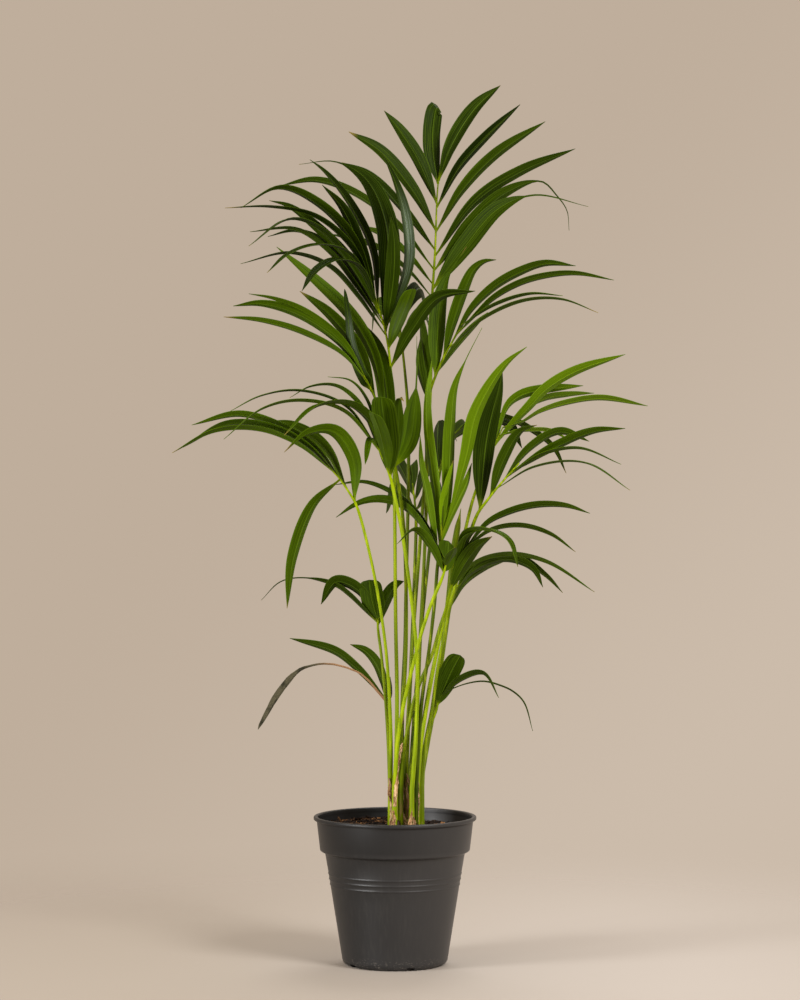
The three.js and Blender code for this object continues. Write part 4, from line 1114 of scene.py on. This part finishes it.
# Each strip is its darkness and a list of [across, up, behind, width].
DRY_STRIPS = {
    "husk_1": [
        (0.45, [[-9, 273, -1, 2], [-7.2, 262, -2, 5], [-7.8, 250, -2, 6], [-6.4, 240, -1.6, 3]]),
        (0.1, [[-5.4, 240, -2, 3], [-4.2, 226, -3, 6], [-5, 212, -2.5, 6], [-6, 202, -2, 4]]),
        (0.8, [[0, 236, -4, 1], [-2, 230, -4, 4], [1, 222, -4, 3], [2, 212, -4, 1]]),
    ],
    "husk_2": [
        (0, [[4, 282, -25, 1], [2.4, 265, -27, 4.6], [0.9, 248, -27.5, 5.4], [-0.6, 232, -26, 4]]),
        (0.2, [[-2.6, 226, -26, 2], [-1.6, 216, -27, 5], [-2.4, 204, -26, 6]]),
        (0.7, [[8, 312, -15, 2.4], [6.8, 302, -15, 3.4], [5.2, 291, -14, 1.8], [4, 280, -13, 1]]),
        (0.15, [[10.6, 325, -15, 1.6], [9, 318, -15, 3.4], [8.4, 310, -15, 1]]),
        (0.5, [[11.4, 369, 5.4, 2], [11.6, 362, 5, 3.4], [11.2, 354, 5.4, 1.5]]),
    ],
    "husk_3": [
        (1, [[12.8, 276, 10, 1.6], [13, 260, 9.4, 2.6], [13.2, 240, 9, 3], [13.6, 205, 9, 4]]),
        (0.25, [[16.6, 273, 8.6, 1.4], [18, 255, 7.6, 4], [18.6, 236, 7.4, 4.4], [18, 214, 8, 3]]),
        (0.7, [[17.4, 280, 8, 1], [19.6, 272, 6.4, 3.4], [22.4, 262, 5, 3], [24, 254, 4.6, 1]]),
        (0.1, [[8.6, 232, -1, 1.6], [10.6, 220, -2, 5], [13.6, 210, -3, 7], [17, 203, -3, 6]]),
    ],
    "husk_4": [
        (0.1, [[24.6, 224, -31.4, 1.4], [23.6, 214, -32, 4.6], [21.6, 203, -32, 7]]),
        (0.6, [[27.4, 216, -30, 1.4], [28.4, 210, -31, 4], [28, 202, -31, 5]]),
    ],
    "husk_5": [
        (0, [[34.4, 267, -11, 1], [33.8, 250, -13, 3.6], [33, 230, -13.6, 5.6], [31.8, 204, -13, 5]]),
        (0.7, [[35.2, 250, -12, 1], [34.8, 240, -14, 2.8], [35, 226, -13, 1]]),
    ],
}


def wandering(pace, *numbers):
    """A direction that changes smoothly with three numbers, each at its own pace."""
    return noise.noise_vector(Vector([step * number for step, number in zip(pace, numbers)]))


def torn_sheet(name, number, line, widths):
    """A grid wrapped along a line. It bulges towards the viewer, like the stalk that it came off,
    and its edges are torn and curled."""
    sheet = add(name, bpy.ops.mesh.primitive_grid_add, x_subdivisions=STRIP_COLUMNS,
                y_subdivisions=STRIP_ROWS, size=2)
    for point in sheet.data.vertices:
        side, row = point.co.x, round((point.co.y + 1) * STRIP_ROWS / 2)
        by_row, by_side, by_strip = TEAR_PACE
        edge = Vector((row * by_row, math.copysign(by_side, side) + number * by_strip, 0))
        half = widths[row] / 2 * (1 + noise.noise(edge) * STRIP_TEAR * abs(side))
        curl = wandering(CURL_PACE, side, row, number) * STRIP_CURL
        out = Vector((side * half, -STRIP_BULGE * half * (1 - side * side), 0))
        point.co = (Vector(line[row]) + out + curl) * MM
    apply_modifier(sheet, "SOLIDIFY", thickness=STRIP_THICKNESS * MM, offset=0)
    return sheet


def loose_thread(name, number, thread, line, widths):
    """A fibre that wanders along a strip, just in front of it."""
    way = []
    for row in range(0, STRIP_ROWS + 1, 2):
        stray = wandering(THREAD_PACE, row, number, thread)
        reach = (widths[row] + THREAD_MARGIN) * THREAD_SPREAD
        way.append(Vector(line[row]) + stray * reach + Vector((0, -1, 0)))
    return rod(name, way, [THREAD_RADII[thread]] * len(way), sides=6)


def dry_strip(name, number, dark, places):
    """One strip with its threads, of which every second one is dark."""
    line = curve_through([place(p[:3]) for p in places], STRIP_ROWS)
    shares = np.linspace(0, 1, STRIP_ROWS + 1)
    widths = np.interp(shares, np.linspace(0, 1, len(places)), [p[3] for p in places])
    pieces = [torn_sheet(name, number, line, widths)]
    mark(pieces[0], dark=dark)
    for thread in range(len(THREAD_RADII)):
        pieces.append(loose_thread(name, number, thread, line, widths))
        mark(pieces[-1], dark=thread % 2)
    return pieces


def husk_finish():
    finish = Finish("dry_sheath", Roughness=0.8, Specular_IOR_Level=0.2)
    fibre = finish.speckle(HUSK_FIBRES, detail=4)
    patch = finish.speckle(HUSK_PATCHES, detail=3)
    base = finish.mix(patch.fade(0.36, 0.64), HUSK_TAN, HUSK_PALE)
    base = finish.mix(finish.written("dark") * 0.8, base, HUSK_DARK)
    base = finish.mix(fibre.fade(0.50, 0.62) * 0.75, base, FIBRE_BROWN)
    finish.put("Base Color", base)
    finish.bump(fibre, distance=0.6, strength=0.8)
    return finish


dry_tan = husk_finish()
for name, strips in DRY_STRIPS.items():
    pieces = []
    for number, (dark, places) in enumerate(strips):
        pieces += dry_strip(f"{name}_{number}", number, dark, places)
    husk = join(name.replace("husk", "dry_sheath"), pieces)
    settle(husk, dry_tan, name)

# ------------------------------------------------------------------------------------ leaflets
# A leaflet is a long, narrow, leathery blade: a pale midrib raised along a gentle fold, fine veins
# beside it, a narrow root and a long thin point. One blank is modelled, and each leaflet is a copy
# that is bent along its own curve, at its own width and turn.

BLADE_ROWS = 36
BLADE_COLUMNS = 14
BLADE_THICKNESS = 0.6
BLADE_FOLD = 0.20
FOLD_CURVE = 1.15
FOLD_OPEN = 0.25
MIDRIB_RISE = 0.05
PLEAT_RISE = 0.018
PLEAT_COUNT = 5
BROADEST = 0.47
TIP_CURVE = 2.3
BLUNTNESS = 14
SPIKE_ROOT = 0.12
LATE_WIDTH = 0.35
LATE_END = 0.6
ROOT_WIDTH = 4.5
ROOT_STEPS = 100
LAST_ROOT = 0.999
THREAD_WIDTH = 3.4
TIP_WIDTH = 0.5
RIB_STEPS = 24
RIB_TIP = 1.0
RIB_SIDES = 10

# Deep and bright green, the veins' green, and how much the leaf shines.
LEAF_GREENS = {
    "dark_leaf": ("0C1700", "455E00", "64801A", 0.04),
    "light_leaf": ("263A00", "6A8A02", "8CAA24", 0.06),
}
# Painted sheen: the grey mixed into some blades where a reflection shows.
PAINTED_SHEEN_GREY = "7A8E70"
ROOT_YELLOW = "788C04"
TIP_BROWN = "7A6A30"
BLADE_STREAKS = (13, 60, 1.6)
VEINS = 36
LEAF_TONE = 0.6
TONE_SPREAD = 0.16
PLEAT = 0.4
DRY_TIP = 0.09
DRY_EDGE = 0.05

# What is special about some fronds, and about some leaflets by their frond and their number.
FROND_TONES = {"crown": 0.24, "upper_left": 0.06, "upper_back": 0.0, "back_left": 0.1,
               "back_right": 0.1, "middle_left": 0.95, "far_left": 0.95, "lower_right": 0.7,
               "centre_left": 0.75, "low_left": 0.38, "bottom_left": 0.42, "bottom_right": 0.3}
PLEATS = {"crown": 0.7, "upper_right": 0.7, "lower_right": 0.7, "low_right": 0.8, "centre": 0.25}
LEAF_TONES = {("middle_left", 5): 0.0, ("centre", 5): 1.6, ("upper_left", 14): 0.9,
              ("lower_front", 3): 0.9, ("back_right", 2): -0.2, ("right", 0): 0.33,
              ("centre_left", 8): 0.9}
# How much painted sheen and clear coat some leaflets have.
SHEEN_AMOUNTS = {("upper_left", 12): 0.9, ("middle_left", 5): 0.4, ("upper_left", 14): 0.3}
THREADS = {("crown", 5): 0.7, ("crown", 6): 0.68, ("upper_left", 11): 0.82, ("centre", 2): 0.84,
           ("middle_left", 7): 0.62, ("low_left", 0): 0.62, ("upper_right", 0): 0.8}
BLUNT = {("crown", 0), ("low_left", 2), ("centre_left", 5), ("centre_left", 8),
         ("upper_left", 14), ("lower_front", 3), ("back_right", 2), ("bottom_right", 0)}


def blade_outline(share):
    """How wide a leaflet is at each share of its length, as a share of its full width."""
    if share < BROADEST:
        return 1 - (1 - share / BROADEST) ** 2
    return 1 - ((share - BROADEST) / (1 - BROADEST)) ** TIP_CURVE


def blunt_outline(share):
    """The outline of a leaflet whose end has bent back out of sight."""
    return blade_outline(min(share, BROADEST)) * (1 - share**BLUNTNESS) ** 0.5


def spike_outline(share):
    """The outline of a leaflet that is broadest near its root."""
    return smooth(share / SPIKE_ROOT) * (1 - share) ** 0.5


def late_outline(share):
    """The outline of a leaflet that is folded shut near its root."""
    return blade_outline(share) * (LATE_WIDTH + (1 - LATE_WIDTH) * smooth(share / LATE_END))


OUTLINES = {
    ("middle_left", 5): spike_outline,
    ("centre", 3): late_outline,
    **dict.fromkeys(BLUNT, blunt_outline),
}


def leaflet_blank():
    """A grid, two wide and one long, that is folded along its middle, with its midrib raised.
    Gives its points and its faces."""
    blank = add("leaflet_blank", bpy.ops.mesh.primitive_grid_add, x_subdivisions=BLADE_COLUMNS,
                y_subdivisions=BLADE_ROWS, size=2)
    for point in blank.data.vertices:
        side = abs(point.co.x)
        rise = MIDRIB_RISE if side < 0.01 else 0
        pleat = PLEAT_RISE * math.cos(side * math.pi * PLEAT_COUNT)
        point.co.z = rise + pleat - BLADE_FOLD * side**FOLD_CURVE
        point.co.y = (point.co.y + 1) / 2
    points = np.array([point.co for point in blank.data.vertices])
    faces = [list(face.vertices) for face in blank.data.polygons]
    bpy.data.objects.remove(blank)
    return points, faces


BLANK_POINTS, BLANK_FACES = leaflet_blank()


def blade_width(share, width, outline, thread):
    """Past the share called thread, a leaflet's end has dried to no more than a thread."""
    wide = width * outline(share / thread) if share < thread else 0
    least = ROOT_WIDTH * (1 - share) if thread == 1 else THREAD_WIDTH * (1 - share**4)
    return max(wide, least, TIP_WIDTH)


def carried(line, turn):
    """The sideways direction of a leaflet at each point of its line: it starts turned by so many
    degrees from facing the eye, and is carried along without twisting."""
    along = np.gradient(line, axis=0)
    along /= np.linalg.norm(along, axis=1)[:, None]
    direction = 1 if line[-1][0] >= line[0][0] else -1
    flat = np.cross(along[0], (0, 1, 0))
    flat /= np.linalg.norm(flat)
    angle = math.radians(turn) * direction
    across = flat * math.cos(angle) + np.cross(along[0], flat) * math.sin(angle)
    sides = []
    for way in along:
        across = across - way * across.dot(way)
        across /= np.linalg.norm(across)
        sides.append(across)
    return np.array(sides), np.cross(along, sides)


def bent_blade(points, width, turn, outline, thread=1):
    """The blank's points, bent along a leaflet's line. It is flat at its root, and its fold opens
    over the first part of its length."""
    line = curve_through(points, BLADE_ROWS)
    across, ridge = carried(line, turn)
    rows = np.rint(BLANK_POINTS[:, 1] * BLADE_ROWS).astype(int)
    shares = rows / BLADE_ROWS
    wide = np.array([blade_width(share, width, outline, thread) / 2 for share in shares])
    opened = np.minimum(1, shares / FOLD_OPEN)[:, None]
    side = BLANK_POINTS[:, :1] * wide[:, None]
    rise = BLANK_POINTS[:, 2:] * wide[:, None] * opened
    return line[rows] + across[rows] * side + ridge[rows] * rise


def blade_sheet(name, blades):
    """Bent blades as one mesh, without a thickness."""
    starts = [len(BLANK_POINTS) * number for number in range(len(blades))]
    faces = [[corner + start for corner in face] for start in starts for face in BLANK_FACES]
    mesh = bpy.data.meshes.new(name)
    mesh.from_pydata((np.vstack(blades) * MM).tolist(), [], faces)
    sheet = bpy.data.objects.new(name, mesh)
    bpy.context.collection.objects.link(sheet)
    return sheet


def root_of(frond, share):
    """Where a leaflet grows, at a share of the rib's length."""
    line, _, first = frond_line(frond)
    return part_of(line, first, LAST_ROOT, ROOT_STEPS)[round(share * ROOT_STEPS)]


def frond_blades(name, frond, rng):
    """All the leaflets of one frond in one mesh, with what its colours need at each point: how far
    along and across its leaflet it is, and the leaflet's own tone, dryness, sheen and pleats. The
    sheen is a clear coat and a painted sheen."""
    across, along = BLANK_POINTS[:, 0], BLANK_POINTS[:, 1]
    blades, looks = [], []
    for number, (share, width, turn, *passes) in enumerate(frond["leaflets"]):
        leaf = (name, number)
        points = [root_of(frond, share), *[place(p) for p in passes]]
        outline = OUTLINES.get(leaf, blade_outline)
        blades.append(bent_blade(points, width, turn, outline, THREADS.get(leaf, 1)))
        tip = 0 if leaf in BLUNT else rng.random() ** 3
        tone = rng.gauss(LEAF_TONES.get(leaf, FROND_TONES.get(name, LEAF_TONE)), TONE_SPREAD)
        dry = np.clip((along - 1 + DRY_TIP * tip) / DRY_EDGE, 0, 1)
        looks.append({"along": along, "across": across, "tone": tone, "dry": dry, "blade": 1,
                      "wax": SHEEN_AMOUNTS.get(leaf, 0), "pleat": PLEATS.get(name, PLEAT)})
    sheet = blade_sheet(name, blades)
    for label in looks[0]:
        each = [np.full(len(BLANK_POINTS), look[label], float) for look in looks]
        mark(sheet, **{label: np.concatenate(each)})
    apply_modifier(sheet, "SOLIDIFY", thickness=BLADE_THICKNESS * MM, offset=0)
    return sheet


def rib_rod(name, frond):
    """The rib, from the stalk's end to the last leaflet."""
    line, neck, _ = frond_line(frond)
    radius = frond.get("radius", STALK_RADIUS)
    radii = radius + (RIB_TIP - radius) * np.linspace(0, 1, RIB_STEPS + 1)
    rib = rod(f"rib_{name}", part_of(line, neck, 1, RIB_STEPS), radii, RIB_SIDES)
    mark(rib, tone=STALK_TONES[name], blade=0)
    return rib


def leaf_finish(name, deep, bright, vein, gloss):
    """Greens that run in streaks along the pleats, pale veins, midrib and edges, a painted sheen
    with a clear coat on some blades, a yellow root and a brown tip. The rib has the stalks' greens."""
    finish = Finish(name, Specular_IOR_Level=gloss, Coat_Roughness=0.3)
    along, side, tone = [finish.written(label) for label in ("along", "across", "tone")]
    dry, is_blade, wax, pleat = [finish.written(label) for label in ("dry", "blade", "wax", "pleat")]
    across = abs(side)
    cloud = finish.speckle(28, detail=3)
    unrolled = finish.node("ShaderNodeCombineXYZ", {0: side, 1: tone, 2: along})
    streak = finish.speckle(BLADE_STREAKS, detail=3, vector=unrolled)
    veins = (across * VEINS).sine().fade(-0.2, 1.0)
    base = finish.mix(tone * 0.75 + cloud * 0.25, deep, bright)
    base = finish.mix(streak.fade(0.50, 0.62) * (pleat * 0.6 + 0.25), base, deep)
    base = finish.mix(streak.fall(0.34, 0.46) * pleat * 0.4 + veins * 0.08, base, vein)
    base = finish.mix(across.fall(0.0, 0.07) * 0.35, base, vein)
    base = finish.mix(across.fade(0.93, 1.0) * 0.25, base, vein)
    # Painted sheen: grey is mixed into the green where a reflection shows, and the same mask sets a
    # real clear coat.
    coat_and_painted_sheen = wax * streak.fade(0.3, 0.6) * across.fade(0.4, 1.0, 1, 0.2)
    coat_and_painted_sheen = coat_and_painted_sheen * along.fade(0.1, 0.35) * along.fall(0.55, 0.85)
    base = finish.mix(coat_and_painted_sheen * 0.45, base, PAINTED_SHEEN_GREY)
    base = finish.mix(along.fall(0.0, 0.10) * 0.7, base, ROOT_YELLOW)
    base = finish.mix(dry, base, TIP_BROWN)
    stalk, fibres = stalk_colours(finish)
    finish.put("Base Color", finish.mix(is_blade, stalk, base))
    finish.put("Roughness", 0.38 + cloud * 0.12 + veins * 0.03)
    finish.put("Coat Weight", coat_and_painted_sheen)
    relief = (veins * 0.3 + streak * 2) * is_blade + fibres * (1 - is_blade)
    finish.bump(relief, distance=0.2, strength=0.6)
    return finish


leaf_greens = {kind: leaf_finish(kind, *greens) for kind, greens in LEAF_GREENS.items()}
for name, frond in FRONDS.items():
    kind = "light_leaf" if frond.get("light") else "dark_leaf"
    blades = join(f"leaflets_{name}", [frond_blades(name, frond, chance), rib_rod(name, frond)])
    settle(blades, leaf_greens[kind], f"frond_{name}", crease=60)

# ------------------------------------------------------------------------------------ withered leaflet
# One leaflet at the bottom left has withered: it is a string for half its way, and its broad end
# is still dull grey-green. It hangs from the same rib as its green neighbours.

DRY_FROND = "bottom_left"
DRY_LEAFLET = [0.35, 15, 40, (-54, 429, 14), (-103, 442, 18), (-140, 433, 12), (-166, 405, 8),
               (-187, 372, 4), (-202, 345, 2)]
DRY_GAP = 0.4
STRING_WIDTH = 0.24
STRING_END = 0.5
STRING_FADE = 0.22
STRING_SIDE = (-125, -80)
CRUMPLE = 0.8
CRUMPLE_PACE = 70
WITHERED_DARK = "2A2A1C"
WITHERED_GREY = "5A5642"
WITHERED_PALE = "857A5E"
STRING_TAN = "A87E58"


def dry_outline(share):
    """The outline of a leaflet that is a string at first, and then broad up to its blunt end."""
    opened = smooth((share - STRING_END) / STRING_FADE)
    return STRING_WIDTH + (1 - STRING_WIDTH) * opened * (1 - share**9)


def withered_leaflet():
    """Its root stands just clear of the rib, which is a piece of its own."""
    share, width, turn, *passes = DRY_LEAFLET
    frond = FRONDS[DRY_FROND]
    root = root_of(frond, share)
    points = [place(p) for p in passes]
    out = points[0] - root
    root = root + out / np.linalg.norm(out) * (frond["radius"] + DRY_GAP)
    leaflet = blade_sheet("withered_leaflet", [bent_blade([root, *points], width, turn, dry_outline)])
    for point in leaflet.data.vertices:
        point.co += Vector(noise.noise_vector(point.co * CRUMPLE_PACE)) * CRUMPLE * MM
    apply_modifier(leaflet, "SOLIDIFY", thickness=BLADE_THICKNESS * MM, offset=0)
    return leaflet


def dry_finish():
    finish = Finish("withered_leaf", Roughness=0.75, Specular_IOR_Level=0.3)
    patch = finish.speckle(60, detail=4)
    fine = finish.speckle(500, detail=3)
    string = finish.millimetres("X").fade(*STRING_SIDE)
    base = finish.mix(patch.fade(0.35, 0.6), WITHERED_DARK, WITHERED_GREY)
    base = finish.mix(fine.fade(0.55, 0.7) * 0.4, base, WITHERED_PALE)
    base = finish.mix(string * 0.8, base, STRING_TAN)
    finish.put("Base Color", base)
    finish.bump(fine + patch, distance=0.8, strength=0.7)
    return finish


settle(withered_leaflet(), dry_finish(), "dry_leaflet", crease=60)

# ------------------------------------------------------------------------------------ young spear
# The newest leaf is still shut: a smooth green spear that stands among the stalks and swells a
# little before its point. It has the stalks' greens.

SPEAR_PLACES = [(38, 261, 32), (49, 329, 46), (62, 402, 48), (72, 476, 52), (81, 549, 54),
                (88, 616, 54), (97, 671, 54)]
SPEAR_RADIUS = 3.2
SPEAR_SWELL = 2.2
SPEAR_POINT = 0.06
SPEAR_END = 0.12
SPEAR_TONE = 0.5
SPEAR_STEPS = 60


def young_spear():
    """A rod that swells towards its end and then narrows to its point."""
    shares = np.linspace(0, 1, SPEAR_STEPS + 1)
    radii = SPEAR_RADIUS + SPEAR_SWELL * np.sin(np.pi * shares**3)
    radii = radii * np.clip((1 - shares) / SPEAR_POINT, SPEAR_END, 1)
    line = curve_through(risen(SPEAR_PLACES), SPEAR_STEPS)
    spear = rod("young_leaf_spear", line, radii, STALK_SIDES)
    mark(spear, tone=SPEAR_TONE)
    return spear


settle(young_spear(), stalk_green, "young_spear")

# ------------------------------------------------------------------------------------ floor and light
# A pale warm paper floor that runs on without an edge. A large soft light stands at the front
# right, a tall narrow one and a small low one at the left, and one hangs above and behind.

# Painted shade and light on the floor: darker at the left, lighter at the right.
PAPER_SHADED_LEFT = "A59B8F"
PAPER_LIT_RIGHT = "B8B0A8"
PAPER_LIGHT_SPAN = (-500, 500)
PAPER_REACH = (300, 1500)
PAPER_DROP = 0.2
PAPER_SIDES = 96
AIR_DIM = "BFAE9C"
AIR_BRIGHT = "CCBCAB"
AIR_TURN = (-0.06, 0.22)

# Each light's place and size in metres, and its power in watts. All of them face AIM.
LIGHTS = {
    "key_right": ((2.5, -2.9, 2.9), (1.5, 1.5), 170),
    "strip_left": ((-2.7, -1.5, 1.5), (0.8, 2.0), 74),
    "card_left": ((-2.3, -2.3, 0.32), (0.3, 0.55), 34),
    "top_back": ((0.4, 1.6, 3.1), (1.4, 1.4), 45),
}
AIM = Vector((0, 0, 0.7))


def paper_floor():
    """A disc that carries the pot's shadow, and thins out to nothing further off."""
    floor = add("paper_floor", bpy.ops.mesh.primitive_circle_add, vertices=PAPER_SIDES,
                radius=PAPER_REACH[1] * MM, fill_type="NGON", location=(0, 0, -PAPER_DROP * MM))
    bpy.ops.object.transform_apply(location=True, rotation=False, scale=False)
    finish = Finish("paper", Roughness=0.9, Specular_IOR_Level=0.1)
    away = finish.node("ShaderNodeVectorMath", {0: finish.coords()}, "Value", operation="LENGTH")
    # Painted shade and light: the paper is painted darker at the left and lighter at the right.
    painted_floor_light = finish.millimetres("X").fade(*PAPER_LIGHT_SPAN)
    finish.put("Base Color", finish.mix(painted_floor_light, PAPER_SHADED_LEFT, PAPER_LIT_RIGHT))
    finish.put("Alpha", (away * (1 / MM)).fall(*PAPER_REACH))
    floor.data.materials.append(finish.material)


def soft_light(name, spot, size, power):
    """A rectangular light that faces AIM."""
    light = add(name, bpy.ops.object.light_add, type="AREA", location=spot)
    light.data.shape = "RECTANGLE"
    light.data.size, light.data.size_y = size
    light.data.energy = power
    light.rotation_euler = (AIM - Vector(spot)).to_track_quat("-Z", "Y").to_euler()


def studio_air():
    """The world's own light: beige all round, a little brighter at the right and low down."""
    world = bpy.data.worlds.new("studio_air")
    world.use_nodes = True
    air = Nodes(world.node_tree, "Background")
    way = air.node("ShaderNodeTexCoord", output="Generated")
    right, up = [air.node("ShaderNodeSeparateXYZ", {0: way}, output=axis) for axis in "XZ"]
    air.put("Color", air.mix((right - up).fade(*AIR_TURN), AIR_DIM, AIR_BRIGHT))
    bpy.context.scene.world = world


paper_floor()
for name, settings in LIGHTS.items():
    soft_light(name, *settings)
studio_air()
